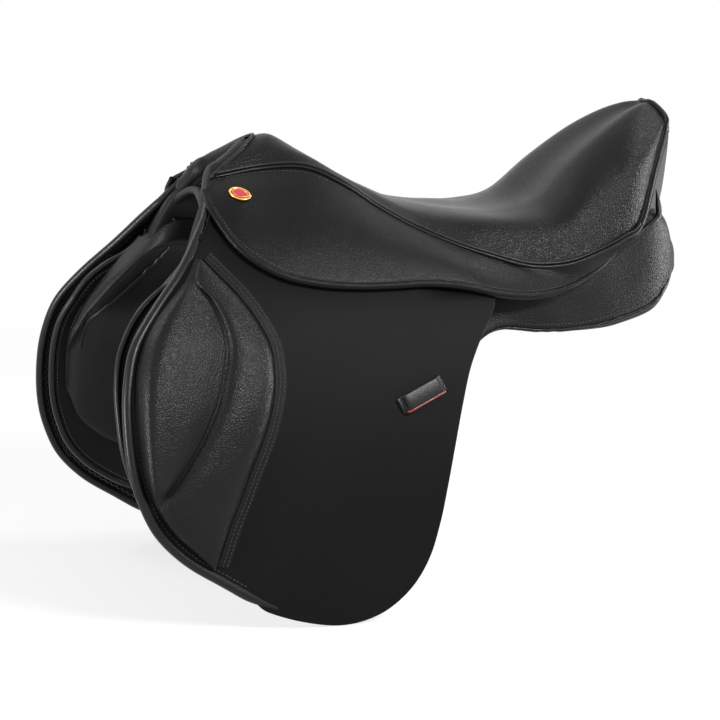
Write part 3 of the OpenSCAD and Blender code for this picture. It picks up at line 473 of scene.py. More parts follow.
# from pommel to cantle: middle x, z, then three points x, w, z out to the welt
seatRows = [
    [-200, 170, -209, 14, 165, -226, 28, 154, -252, 40, 140],
    [-185, 170, -189, 14, 168, -196, 27, 160, -206, 37, 146],
    [-160, 155, -161, 18, 155, -163, 34, 153, -167, 45, 146],
    [-130, 136, -130, 24, 135, -132, 44, 135, -135, 58, 131],
    [-104, 123, -104, 30, 122, -104, 54, 119, -105, 69, 110],
    [-74, 109, -74, 34, 109, -74, 64, 104, -75, 81, 92],
    [-40, 101, -40, 42, 101, -40, 76, 94, -40, 94, 76],
    [-5, 96, -5, 48, 97, -5, 87, 90, -6, 104, 64],
    [30, 95, 30, 52, 96, 30, 94, 88, 30, 112, 54],
    [65, 104, 64, 54, 106, 66, 98, 90, 66, 114, 54],
    [100, 135, 99, 50, 137, 97, 92, 110, 100, 111, 63],
    [135, 160, 132, 45, 161, 126, 86, 125, 128, 104, 73],
    [165, 177, 160, 36, 177, 152, 78, 141, 150, 94, 84],
    [186, 185, 182, 24, 186, 179, 59, 158, 174, 69, 126],
    [198, 189, 200, 12, 189, 204, 32, 177, 201, 37, 163]]
seat = {"thick": 2.2, "alongCells": 170, "acrossCells": 110, "pucker": 0.35, "puckerReach": 0.035,
        "unevenness": 0.35, "weltRadius": 1.5, "facingRadius": 11.5, "facingDrop": 0.15,
        "weltSpan": (0.004, 0.853), "seamDip": 0.5, "facingShrinks": 0.22,
        "facingFoot": (-256.0, -39, 121)}


def seatPoint(u, v):
    # across a row: the curve through mirrored p1, middle, p1, p2, p3; u picks the row, v 0 middle to 1 welt
    u, v = alike(u, v)
    r = along(seatRows, u)
    rows = np.stack([point(r[..., 2], -r[..., 3], r[..., 4]), point(r[..., 0], 0 * u, r[..., 1]),
                     r[..., 2:5], r[..., 5:8], r[..., 8:11], 2 * r[..., 8:11] - r[..., 5:8]], -2)
    return across(rows, np.abs(v) * 3) * point(1.0, np.where(v < 0, -1.0, 1.0), 1.0)


def sinkSeat(p, u, k):      # towards a line 80 mm below the middle of the seat, as its inner layers are
    r = along(seatRows, u)
    return mix(p, point(p[..., 0], 0 * p[..., 0], r[..., 1] - 80), k)


def makeSeat():
    u, v = grid(steps(0, 1, seat["alongCells"]), steps(-1, 1, seat["acrossCells"]))
    g = seatPoint(u, v)
    n = normalsOf(g, (0, 0, 1))
    tuck = np.exp(-u / seat["puckerReach"]) * ease((np.abs(v) - 0.1) * 3)
    ripple = np.sin(np.abs(v) * 75 + 9 * u) * seat["pucker"] * tuck
    sag = -seat["seamDip"] * np.exp(-((1 - np.abs(v)) / 0.02) ** 2) * ease(8 * (1 - u))
    g = g + n * (ripple + sag + soft(g, 95, seat["unevenness"], 0.4))[..., None]
    piece("seatTop", slab(g, seat["thick"], (0, 0, 1)), seatLeather, "root",
          replaces=["seat_cover"])

    us = steps(*seat["weltSpan"], 160)
    p = seatPoint(us, np.ones_like(us))
    d = p - seatPoint(us, np.full_like(us, 0.97))
    out = unit(d * [0, 1, 1]) * [0, 1, 1]
    side = np.array([0, 1, 0])
    r = seat["weltRadius"]
    upper = p + side * r + [0, 0, 0.6]
    lower = p + side * (r * 1.4 + 1.3) + [0, 0, -2.3]
    pair = [tube(q, r, (0, 1, 0), 10) for q in (upper, lower)]
    both = join(*pair, *[(v * [1, -1, 1], f) for v, f in pair])
    piece("seatWelts", both, weltLeather, "root", replaces=["seat_welts"])


def beforeArch(v, k, d):    # square to the pommel's edge in plan, towards the front
    a, b = (sinkSeat(seatPoint(0 * v, np.clip(v + e, -1, 1)), 0 * v, k) for e in (0.02, -0.02))
    t = a - b
    n = unit(point(-t[..., 1], t[..., 0], 0 * v))
    return sinkSeat(seatPoint(0 * v, v), 0 * v, k) + n * d


def makePommel():
    v = steps(-1, 1, 90)
    low = 2.0 * ease((np.abs(v) - 0.75) * 4)
    line = beforeArch(v, 0, 2.4) + point(0, 0, 0.3 - 1.5 * low)
    welt = tube(line, 1.9 + 0.45 * ease((np.abs(v) - 0.5) * 2), (1, 0, 0), 12)
    piece("pommelWelt", welt, weltLeather, "root", replaces=["pommel_welt"])
    r = seat["facingRadius"]
    crown = beforeArch(steps(-0.9, 0.9, 19), seat["facingDrop"], r * 0.72)
    foot = np.array([seat["facingFoot"]])
    path = smoothPath(np.vstack([foot, crown, foot * [1, -1, 1]]), 140)
    swell = 1 - seat["facingShrinks"] * ease((np.abs(steps(-1, 1, 140)) - 0.45) / 0.5)
    verts, faces = tube(path, r * swell, (1, 0, 0), 40)
    verts = verts + unit(verts - path.mean(0)) * soft(verts, 60, 0.15, 1.2)[:, None]
    piece("pommelFacing", (verts, faces), panelLeather, "root", replaces=["pommel_facing"])
    outward = unit(np.tile([-0.5, 0, -1.0], (len(path), 1)))
    row = path + outward * (r * swell)[:, None]
    piece("pommelThread", stitches(row[16:-16], outward[16:-16]), blackThread, "root")


lining = {"thick": 1.6, "low": 0.46, "lift": 0.06, "deep": 0.22}
# four lines along the side of the gullet, front to back, from below the head down to the panel
gulletWall = [
    [[-262, 52, 119], [-259, 37, 122], [-256, 30, 125], [-240, 26, 122], [-215, 22, 117], [-185, 20, 112]],
    [[-268, 66, 105], [-270, 52, 108], [-266, 42, 110], [-250, 36, 106], [-215, 30, 102], [-185, 28, 98]],
    [[-275, 80, 88], [-278, 61, 90], [-275, 50, 92], [-255, 46, 92], [-215, 40, 88], [-185, 38, 84]],
    [[-283, 90, 68], [-286, 70, 69], [-283, 57, 72], [-258, 52, 72], [-215, 45, 78], [-185, 43, 76]]]


def makeLining():           # thin leather below the head, and down both sides of the gullet to the panels
    v = steps(-0.96, 0.96, 90)
    low = (lining["low"] - lining["lift"] * v ** 4)[:, None]
    face = [beforeArch(v, mix(0.2, low, t), mix(1.0, -0.5, t)) for t in steps(0, 1, 12)]
    under = [sinkSeat(seatPoint(u + 0 * v, v), u + 0 * v, low) for u in steps(0.01, lining["deep"], 24)]
    head = slab(np.stack(face + under), lining["thick"], (0, 0, -1))
    piece("headLining", head, sweatLeather, "root")
    w = steps(0, 1, 40)
    lines = [along(rows, w) for rows in gulletWall]
    v = steps(0, 1, 30)
    wall = np.stack([along(np.stack([line[k] for line in lines]), v) for k in range(len(w))])
    shape = slab(wall, lining["thick"], (0, -1, -0.2))
    both = join(shape, (shape[0] * [1, -1, 1], shape[1]))
    piece("gulletLining", both, sweatLeather, "root")


# ---- cantle ----

cantle = {"side": 0.85, "drop": 60, "thick": 3.0, "welt": 1.7, "seal": 2.2, "sealDepth": 1.2}


def cantleSeam(q):          # along the seat's rear edge from its side (0) to the middle line (1)
    first = seatPoint(mix(cantle["side"], 1, np.minimum(2 * q, 1)), np.ones_like(q))
    second = seatPoint(np.ones_like(q), np.clip(2 - 2 * q, 0, 1))
    p = np.where((q < 0.5)[..., None], first, second)
    return p + point(0.7, 0.7 * np.minimum(p[..., 1] / 30, 1), -1.0)


def cantlePoint(u, v):
    q = 1 - np.abs(1 - 2 * u)
    a = cantleSeam(q)
    drop = 5 + cantle["drop"] * np.sin(math.pi / 2 * np.minimum(q / 0.55, 1)) ** 1.3
    b = a - point(2 + 4 * np.sin(math.pi * q), a[..., 1] * 0.06, drop)
    p = mix(a, b, v[..., None]) + point(5 * v * (1 - v), 0, 0)
    return p * point(1.0, np.where(u < 0.5, -1.0, 1.0), 1.0)


def makeCantle():
    u, v = grid(steps(0, 1, 140), steps(0, 1, 26))
    g = cantlePoint(u, v)
    n = normalsOf(g, (1, 0, 0.1))
    g = g + n * (cantle["thick"] + soft(g, 40, 0.4, 2.0) * v)[..., None]
    shape = slab(g, cantle["thick"], (1, 0, 0.1))
    # a tube inside the seam closes it
    depth = cantle["sealDepth"]
    inner = g[:, 0] - n[:, 0] * (cantle["thick"] + depth) + [0, 0, depth]
    shape = join(shape, tube(inner, cantle["seal"], (1, 0, 0), 8))
    s = steps(0.01, 0.99, 150)
    bare = cantlePoint(*grid(s, [0, 0.05, 0.1]))
    n = normalsOf(bare, (1, 0, 0.1))
    rim = bare[:, 0] + n[:, 0] * cantle["thick"] * 0.45 + [0, 0, 0.9]
    piece("cantleFacing", shape, seatLeather, "root", replaces=["cantle_facing"])
    piece("cantleWelt", tube(rim, cantle["welt"], (1, 0, 0), 10), weltLeather, "root")
    row = bare[:, 2] + n[:, 2] * (cantle["thick"] + 0.1)
    piece("cantleThread", stitches(row, n[:, 2]), blackThread, "root")


# ---- drape of the flaps ----

drape = {"wide": 195, "narrowing": 150, "top": 130, "fall": 120}
sweatInset = {"least": 10, "most": 38, "from": 110, "rate": 0.28}


def drapeAt(z):             # half width of the flaps at a height: wide - narrowing e^(-(top - z) / fall)
    return drape["wide"] - drape["narrowing"] * np.exp(-(drape["top"] - z) / drape["fall"])


def leanAt(z):              # slope of that line
    return (drape["wide"] - drapeAt(z)) / drape["fall"]


def sweatAt(z):             # half width of the sweat flaps
    s = sweatInset
    return drapeAt(z) - np.clip(s["least"] + (s["from"] - z) * s["rate"], s["least"], s["most"])


def onFlap(xz, depth):
    x, z = xz[..., 0], xz[..., 1]
    return point(x, drapeAt(z) - depth * np.sqrt(1 + leanAt(z) ** 2), z)


def onSweat(xz, depth):
    return point(xz[..., 0], sweatAt(xz[..., 1]) - depth, xz[..., 1])


def edgeIn(outline, u, d):  # point of an outline moved in along its own normal
    e = 0.02
    t = along(outline, u + e) - along(outline, u - e)
    n = unit(np.stack([-t[..., 1], t[..., 0]], -1))
    return along(outline, u) + n * (d[..., None] if np.ndim(d) else d)


def rollInset(part, u):     # what the rolled edge takes from the flat leather, until the roll ends
    return (2 * part["roll"] - part["tuckedIn"]) * ease((part["rollEnd"] + 0.03 - u) / 0.03)


# the line about which flap and skirt lift: its front end x, z, and how far it runs back and falls
fold = {"x": -262, "z": 120.0, "run": 252.0, "fall": 60.0}


def foldAt(x):
    return mix(fold["z"], fold["z"] - fold["fall"], (x - fold["x"]) / fold["run"])


def bendAcross(o):
    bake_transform(o)


# ---- flaps ----

flapOutline = [[-273, 109], [-287, 90], [-309, 63], [-338, 33], [-360, 4], [-370.5, -30], [-373.5, -64],
               [-371.5, -100], [-364, -130], [-350, -159], [-325, -185], [-292, -207], [-258, -228],
               [-220, -243], [-180, -250], [-145, -243], [-117, -224], [-98, -198], [-86, -166],
               [-77, -132], [-68, -97], [-58, -62], [-47, -31], [-32, -4], [-18, 16], [-12, 30]]
flap = {"thick": 4.0, "roll": 4.8, "rollEnd": 0.46, "barX": -120, "barLength": 92, "scoop": 34,
        "scoopEnds": 44, "bandHeight": 9, "bandSink": 5, "front": -259.0, "rear": -34, "threadIn": 1.6,
        "tuckedIn": 2.6, "rearTuck": 6.5, "whip": (3.4, 4.6, 0.5, 0.65),
        "corner": [[-259, 125.5], [-261, 121.5], [-263.5, 116]]}


def flapTop(x):             # its nailed margin above the fold in front, and the scoop round the stirrup bar
    f = flap
    ahead, behind = x - f["barX"] + f["barLength"] * 0.95, f["barX"] + f["barLength"] * 0.8 - x
    scoop = ease(ahead / f["scoopEnds"]) * ease(behind / f["scoopEnds"])
    band = mix(-0.6, f["bandHeight"], ease((-198 - x) / 12))
    return foldAt(x) + band - f["scoop"] * scoop


def flapXz(u, v):
    x = mix(flap["front"], flap["rear"], u)
    top = np.stack([x, flapTop(x)], -1)
    return mix(top, edgeIn(flapOutline, u, rollInset(flap, u)), v[..., None])


def flapPoint(u, v):
    p = flapXz(u, v)
    x, z = p[..., 0], p[..., 1]
    under = flap["rearTuck"] * ease((x + 90) / 45) * ease((z - 25) / 25)
    margin = flap["bandSink"] * ease((z - foldAt(x) + 5) / 9)
    return onFlap(p, under + margin)


def flapNormals(p):
    slope = leanAt(p[..., 2])
    return unit(point(0 * slope, 1 + 0 * slope, slope))


def makeFlap(side):
    u = np.r_[steps(0, 0.5, 180), steps(0.5, 1, 90)[1:]]
    v = np.r_[steps(0, 0.9, 60), 0.9 + 0.1 * np.sin(steps(0, math.pi / 2, 22)[1:])]
    g = flapPoint(*grid(u, v))
    low = ease((40 - g[..., 2]) / 60)
    g = g + point(0, soft(g, 170, 1.1, 0.5) * low, 0)
    o = piece("flapLeather", slab(g, flap["thick"], (0, 1, 0.3), rim=0.32), flapLeather,
              side=side, replaces=["flap", "flap_band"])
    bendAcross(o)
    # rolled front edge, carried on under the skirt's front corner
    us = steps(0.0, flap["rollEnd"] + 0.035, 170)
    p = edgeIn(flapOutline, us, flap["roll"])
    path = np.vstack([onFlap(np.array(flap["corner"]), 2.0), onFlap(p, flap["thick"] / 2)])
    path = smoothPath(path[::4], 200)
    end = steps(0, 1, 200)
    r = flap["roll"] * taper(end, 0.62, 7, 0.45, 1 / 0.07)
    o = piece("flapRoll", tube(path, r, (0, 1, 0), 16), weltLeather, side=side,
              replaces=["flap_roll"])
    bendAcross(o)
    # thread just inside the roll, and whip stitches over it on the inner face
    us = steps(0.06, flap["rollEnd"], 300)
    p = edgeIn(flapOutline, us, 2 * flap["roll"] + flap["threadIn"])
    path = onFlap(p, -0.15)
    inner = edgeIn(flapOutline, us, 2 * flap["roll"] + 0.5)
    inside = onFlap(inner, flap["thick"] + 0.25)
    n = flapNormals(path)
    threads = join(stitches(path, n, *seam["flap"]), stitches(inside, -n, *flap["whip"]))
    piece("flapThread", threads, blackThread, "flap", side=side)


# ---- knee pads ----

# front outline x, z, the groove x, z and the rear outline x, z, from the tip to the foot; the leaf in front
# of the groove ends where groove and front outline meet
padRows = [[-288, 75, -287, 72, -285, 74], [-303, 56, -294, 55, -270, 57], [-321, 40, -283, 38, -255, 39],
           [-336, 25, -276.5, 18, -243, 20], [-348, 8, -275, -2, -234, -2],
           [-357, -14, -281, -24, -233, -25], [-361, -37, -288.5, -45, -236, -46],
           [-362, -60, -300.5, -68, -243, -68], [-361, -84, -315, -90, -253, -90],
           [-358, -108, -332, -112, -263, -110], [-350, -131, -346, -132, -273, -132],
           [-336, -154, -334.5, -154, -283, -153], [-319.5, -171, -318, -171, -291, -173],
           [-302, -188, -301, -188, -297, -188]]
pad = {"front": [0.4, 13.2, 16.8, 17.6, 17.4, 16.8, 16, 15.2, 14.4, 13.4, 12.2, 10.8, 9.4, 8.4],
       "rear": [8.4, 12, 13.8, 14.6, 14.9, 14.8, 14.5, 14.1, 13.5, 12.7, 11.5, 9.8, 7.0, 1.4],
       "leafEnds": 24, "seamDrop": 0.8, "bindWide": 10, "bindThick": 1.3, "threads": (4.4, 8.2),
       "cord": 1.15, "unevenness": 0.5, "foot": 1.3, "base": 0.35, "full": 19}


def padXz(u, v):
    r = along(padRows, u)
    a, b, c = r[..., :2], r[..., 2:4], r[..., 4:6]
    w = v[..., None]
    return np.where(w < 0.5, mix(a, b, w * 2), mix(b, c, w * 2 - 1))


def padHeight(u, v):        # front hump, groove and rear block from their tables, low at both ends
    tip = np.sin(math.pi * mix(0.02, 0.985, u)) ** 0.6
    front = along(pad["front"], np.minimum(v * 2, 1))[..., 0]
    rear = along(pad["rear"], np.clip(v * 2 - 1, 0, 1))[..., 0]
    r = along(padRows, u)
    leaf = ease(np.hypot(r[..., 0] - r[..., 2], r[..., 1] - r[..., 3]) / pad["leafEnds"])
    front = mix(0.4 + 16 * v, front, leaf)
    groove = pad["seamDrop"] * np.exp(-((v - 0.5) / 0.018) ** 2) * leaf
    return tip * (np.where(v < 0.5, front, rear) - groove)


def makeKneePad(side):
    u = 0.5 - 0.5 * np.cos(steps(0, math.pi, 110))
    v = np.r_[steps(0, 0.42, 34), steps(0.43, 0.57, 24), steps(0.58, 1, 34)]
    u, v = grid(u, v)
    q = padXz(u, v)
    lift = np.maximum(padHeight(u, v), 0)
    g = onFlap(q, -pad["foot"] - lift)
    uneven = soft(g, 55, pad["unevenness"], 2.2) * (lift / pad["full"])
    g = g + flapNormals(g) * uneven[..., None]
    base = onFlap(q, -pad["base"])
    o = piece("kneePad", cushion(g, base), padLeather, "flap", side=side,
              replaces=["knee_pad"])
    # binding behind the pad: a narrow flat strip with a fine cord and two rows of thread
    us = steps(0.015, 0.992, 160)
    wide = steps(0, 1, 9)
    rear = along(padRows, us)[:, 4:6]
    t = np.gradient(rear, axis=0)
    out = unit(np.stack([-t[:, 1], t[:, 0]], -1))
    out = out * np.sign((out[:, :1]).mean())
    strip = rear[:, None] + out[:, None] * (wide[:, None] * pad["bindWide"] + 0.6)
    sg = onFlap(strip, -pad["bindThick"] * 0.95 + 0.25 * ((wide - 0.5) * 2) ** 2)
    cord = onFlap(rear + out * 0.9, -1.7)
    binding = join(slab(sg, pad["bindThick"], (0, 1, 0.3)), tube(cord, pad["cord"], (0, 1, 0), 8))
    piece("padBinding", binding, sweatLeather, "flap", side=side)
    rows = []
    for d in pad["threads"]:
        path = onFlap(rear + out * (d + 0.6), -pad["bindThick"] * 0.95 - 0.1)
        rows.append(stitches(path, flapNormals(path), *seam["pad"]))
    piece("padThread", join(*rows), greyThread, "flap", side=side)


# ---- skirts ----

# lower edge of the skirt: x, distance from the flap's face, z; and where on the welt each point hangs
skirtLow = [[-268, 6, 126], [-267, 6.5, 113], [-262, 6.8, 98], [-252, 6.8, 81], [-236, 6.8, 66],
            [-212, 7, 53], [-180, 7, 45], [-145, 7, 41], [-110, 7, 40], [-75, 7, 40], [-40, 7, 36],
            [-6, 4.5, 28], [28, -2, 24], [62, -9, 27], [96, -16, 38], [126, -20, 54], [149, -10, 72]]
skirtWelt = [0.002, 0.012, 0.024, 0.04, 0.066, 0.1, 0.142, 0.19, 0.245, 0.305, 0.37, 0.435, 0.5, 0.57, 0.65,
             0.745, 0.845]
skirt = {"thick": 3.4, "roll": 3.6, "bulge": 10, "split": -5.0, "threadIn": 8.8, "unevenness": 0.5,
         "points": (14, 150, 50), "topRow": (4.6, 4.2)}


def skirtPoint(u, v):
    # from the welt (v 0) to the lower edge (v 1), bulging out by 4 v (1 - v) over the stirrup bar
    u, v = alike(u, v)
    rear = 1 + 0.35 * ease((u - 0.65) * 5)
    a = seatPoint(along(skirtWelt, u)[..., 0], 1 + 0 * u) + point(0 * u, 2.2 * rear, -2.64 * rear)
    b = along(skirtLow, u)
    b = point(b[..., 0], drapeAt(b[..., 2]) + b[..., 1], b[..., 2])
    swell = skirt["bulge"] * ease(u * 5) * ease((0.9 - u) * 2.5) * 4 * v * (1 - v)
    d = b - a
    n = unit(point(0 * u, -d[..., 2], d[..., 1]))
    p = mix(a, b, v[..., None]) + n * swell[..., None]
    lively = 4 * v * (1 - v) * ease(u * 8) * ease((1 - u) * 8)
    return p + n * (soft(p, 120, skirt["unevenness"], 0.9) * lively)[..., None]


def skirtDepth(u):          # length from welt to lower edge
    return np.maximum(np.linalg.norm(skirtPoint(u, 1 + 0 * u) - skirtPoint(u, 0 * u), axis=-1), 1)


def skirtSplit(u):          # share of the depth at which the skirt crosses the line just below the fold
    v = steps(0, 1, 200)
    p = skirtPoint(u[:, None], v[None])
    f = p[..., 2] - foldAt(p[..., 0]) - skirt["split"]
    k = (f > 0).sum(1)
    i = np.clip(k - 1, 0, 198)
    rows = np.arange(len(u))
    part = f[rows, i] / np.where(np.abs(f[rows, i] - f[rows, i + 1]) < 1e-9, 1, f[rows, i] - f[rows, i + 1])
    return np.where(k == 0, 0.0, np.where(k == 200, 1.0, (i + np.clip(part, 0, 1)) / 199))


def makeSkirt(side):
    fine = steps(0, 1, 1200)
    free = np.where(skirtSplit(fine) < 0.995)[0]
    first, last = fine[free[0]], fine[free[-1]]
    ahead, middle, behind = skirt["points"]
    u = np.r_[steps(0, first, ahead), steps(first, last, middle)[1:], steps(last, 1, behind)[1:]]
    body = slice(ahead - 1, ahead - 1 + middle)
    split = skirtSplit(u)
    split[:body.start], split[body.stop:] = 1.0, 1.0
    low = 1 - 1.5 * skirt["roll"] / skirtDepth(u)
    end = np.minimum(split, low)
    v = steps(0, 1, 40)
    upperV = end[:, None] * v
    upper = skirtPoint(u[:, None], upperV)
    lowerV = mix(end[body][:, None], low[body][:, None], v)
    lower = skirtPoint(u[body][:, None], lowerV)

    def normalAt(us, vs):
        d = 0.004
        a = skirtPoint(np.clip(us + d, 0, 1), vs) - skirtPoint(np.clip(us - d, 0, 1), vs)
        b = skirtPoint(us, vs + d) - skirtPoint(us, vs - d)
        n = unit(np.cross(a, b))
        return n * np.sign(n[..., 1:2] + 1e-6)

    upperN = normalAt(np.broadcast_to(u[:, None], upperV.shape), upperV)
    lowerN = normalAt(np.broadcast_to(u[body][:, None], lowerV.shape), lowerV)
    edge = skirtPoint(u, 1 - skirt["roll"] / skirtDepth(u))
    edge = edge - normalAt(u, np.ones_like(u) * 0.96) * skirt["thick"] / 2
    radius = skirt["roll"] * taper(u, 0.7, 14, 0.55, 9)
    rollOf = lambda cut: tube(edge[cut], radius[cut], (0, 1, 0), 14, blunt=True)
    leaf = slab(upper, skirt["thick"], (0, 1, 0), 0.3, (1,), upperN)
    shape = join(leaf, rollOf(slice(0, ahead)), rollOf(slice(body.stop - 1, None)))
    o = piece("skirtUpper", shape, skirtLeather, side=side, replaces=["skirt_root"])
    bendAcross(o)
    leaf = slab(lower, skirt["thick"], (0, 1, 0), 0.3, (3,), lowerN)
    o = piece("skirtLower", join(leaf, rollOf(body)), skirtLeather, side=side,
              replaces=["skirt", "skirt_edge"])
    bendAcross(o)
    # a row of thread above the rolled edge, and one below the welt that leaves it towards the rear
    su = steps(0.03, 0.975, 460)
    sv = 1 - skirt["threadIn"] / skirtDepth(su)
    held = sv < skirtSplit(su)
    path, out = skirtPoint(su, sv), normalAt(su, sv)
    jump = np.where(np.diff(held.astype(int)) != 0)[0] + 1
    parts = np.split(np.arange(len(su)), jump)
    rowsOf = lambda flag: [stitches(path[k], out[k], *seam["fine"]) for k in parts
                           if held[k[0]] == flag and len(k) > 4]
    wu = steps(0.03, 0.76, 380)
    least, more = skirt["topRow"]
    wv = (least + more * np.exp(-((wu - 0.52) / 0.2) ** 2)) / skirtDepth(wu)
    top = stitches(skirtPoint(wu, wv), normalAt(wu, wv), *seam["fine"])
    o = piece("skirtThreadUpper", join(top, *rowsOf(True)), greyThread, side=side)
    bendAcross(o)
    o = piece("skirtThreadLower", join(*rowsOf(False)), greyThread, side=side)
    bendAcross(o)


# ---- badge and keeper ----

badge = {"half": 10.5, "share": 0.72, "gap": 0.4, "enamel": 0.86, "rim": 0.98}


def makeBadge(side):
    lo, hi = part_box("head_badge_" + side)
    centre = np.array([(lo[0] + hi[0]) / 2, abs(lo[1] + hi[1]) / 2, (lo[2] + hi[2]) / 2]) / metres
    u, v = grid(steps(0, 1, 160), steps(0, 0.9, 120))
    g = skirtPoint(u, v)
    n = normalsOf(g, (0, 1, 0))
    k = np.unravel_index(((g - centre) ** 2).sum(-1).argmin(), u.shape)
    out = n[k]
    centre = g[k] + out * badge["gap"]
    alongIt = unit(g[k[0] + 6, k[1]] - g[k[0] - 6, k[1]])
    acrossIt = np.cross(out, alongIt)
    r, a = grid(steps(0, 1, 14), steps(0, 2 * math.pi, 49))

    def at(x, y, h):        # along it, across it and out from it
        return centre + alongIt * x[..., None] + acrossIt * y[..., None] + out * (h + 0 * x)[..., None]

    def dome(size, rise, foot):
        x, y = size * r * np.cos(a), size * badge["share"] * r * np.sin(a)
        top, low = at(x, y, foot + rise * np.sqrt(np.clip(1 - r ** 2.6, 0, 1))), at(x[-1:], y[-1:], 0)
        return np.vstack([f.reshape(-1, 3) for f in (top, low, centre + 0 * low)]), cells(16, 49)

    b = badge["half"]
    ring = steps(0, 2 * math.pi, 72)
    oval = lambda wide, tall, h: at(b * wide * np.cos(ring), b * badge["share"] * tall * np.sin(ring), h)
    outer, inner = tube(oval(0.9, 0.88, 0.9), 1.0, out, 8), tube(oval(0.66, 0.6, 1.82), 0.28, out, 6)
    piece("badgeEnamel", dome(b * badge["enamel"], 1.0, 1.0), enamel, "root", side=side,
          replaces=["head_badge"])
    rim = join(dome(b * badge["rim"], 0.35, 0.7), outer, inner)
    piece("badgeRim", rim, gilt, "root", side=side)


keeper = {"place": (-97, -52), "tilt": 24, "inner": 34, "wide": 14, "thick": 2.4, "clear": 5.6, "tab": 3,
          "edge": 1.35}


def makeKeeper(side):
    k = keeper
    half, h = k["inner"] / 2, k["clear"] + k["thick"]
    near = np.array([[half * 0.5, h + 0.3], [half + 0.4, h], [half + 2.2, 6.2], [half + 1.6, 3.6],
                     [half + 3.2, 2.4], [half + k["tab"] + 2.4, 2.4]])
    outline = np.vstack([near[::-1] * [-1, 1], near])
    line = smoothPath(outline, 90)
    c = steps(-0.5, 0.5, 13)[None] * k["wide"]
    crown = 0.35 * (1 - (c / k["wide"] * 2) ** 2)
    flat = point(line[:, :1] + 0 * c, 0 * line[:, :1] + c, line[:, 1:] + crown)
    lean = math.atan(leanAt(k["place"][1]))
    t = math.radians(k["tilt"])

    def setDown(p):         # turned by its tilt in the flap's face, then laid on the leaning flap
        x, y, z = p[..., 0], p[..., 1], p[..., 2]
        x, y = x * math.cos(t) + y * math.sin(t), -x * math.sin(t) + y * math.cos(t)
        q = point(x, z, -y)
        q = point(q[..., 0], q[..., 1] * math.cos(lean) - q[..., 2] * math.sin(lean),
                  q[..., 1] * math.sin(lean) + q[..., 2] * math.cos(lean))
        return q + onFlap(np.array(k["place"], float), -0.4)

    g = setDown(flat)
    piece("keeperLoop", slab(g, k["thick"], (0, 1, 0.3), rim=0.5), weltLeather, "flap",
          side=side, replaces=["leather_keeper"])
    low = point(line[:, 0], 0 * line[:, 0] + k["wide"] * 0.5 + 0.5, line[:, 1] - k["thick"] * 0.5)
    edge = tube(setDown(low[6:-6]), k["edge"], (0, 1, 0), 10)
    piece("keeperEdge", edge, redEdge, "flap", side=side)
    rows = []
    ys = steps(-5, 5, 40)
    for end in (-1, 1):
        p = point(end * (half + k["tab"] - 0.6), ys, 2.4 + 0.35)
        rows.append(stitches(setDown(p), setDown(p + [0, 0, 1]) - setDown(p), *seam["keeper"]))
    piece("keeperThread", join(*rows), greyThread, "flap", side=side)


# ---- sweat flaps ----

sweatOutline = [[-288, 74], [-302, 57], [-322, 45], [-340, 30], [-354, 10], [-364, -10], [-369, -34],
                [-370, -60], [-368, -90], [-361, -118], [-350, -142], [-330, -164], [-300, -184],
                [-264, -202], [-224, -213], [-180, -216], [-140, -206], [-114, -182], [-100, -150],
                [-90, -112], [-81, -74], [-70, -38], [-54, -8], [-34, 14], [-12, 28]]
sweatTop = [[-285, 76], [-240, 66], [-208, 46], [-150, 43], [-90, 41], [-45, 38], [-10, 33]]
sweat = {"thick": 3.0, "roll": 3.2, "rollEnd": 0.5, "tuckedIn": -0.2, "threadIn": 2.0}


def sweatPoint(u, v):
    low = edgeIn(sweatOutline, u, rollInset(sweat, u))
    return onSweat(mix(along(sweatTop, u), low, v[..., None]), 0.0)


def makeSweatFlap(side):
    u, v = grid(steps(0, 1, 150), np.r_[steps(0, 0.92, 40), steps(0.93, 1, 12)])
    piece("sweatFlap", slab(sweatPoint(u, v), sweat["thick"], (0, 1, 0), rim=0.35), sweatLeather,
          "root", side=side, replaces=["sweat_flap"])
    us = steps(0.01, sweat["rollEnd"] + 0.02, 160)
    p = edgeIn(sweatOutline, us, sweat["roll"])
    path = smoothPath(onSweat(p, 1.5)[::3], 190)
    end = steps(0, 1, 190)
    r = sweat["roll"] * taper(end, 0.7, 8, 0.5, 14)
    piece("sweatEdge", tube(path, r, (0, 1, 0), 14), weltLeather, "root", side=side,
          replaces=["sweat_edge"])
    q = edgeIn(sweatOutline, us, 2 * sweat["roll"] + sweat["threadIn"])
    over, under = onSweat(q, -0.1), onSweat(q, sweat["thick"] + 0.1)
    n = np.tile([0.0, 1, 0], (len(us), 1))
    threads = [stitches(line, out, *seam["sweat"]) for line, out in ((over, n), (under, -n))]
    piece("sweatThread", join(*threads), greyThread, "root", side=side)


# ---- panels ----

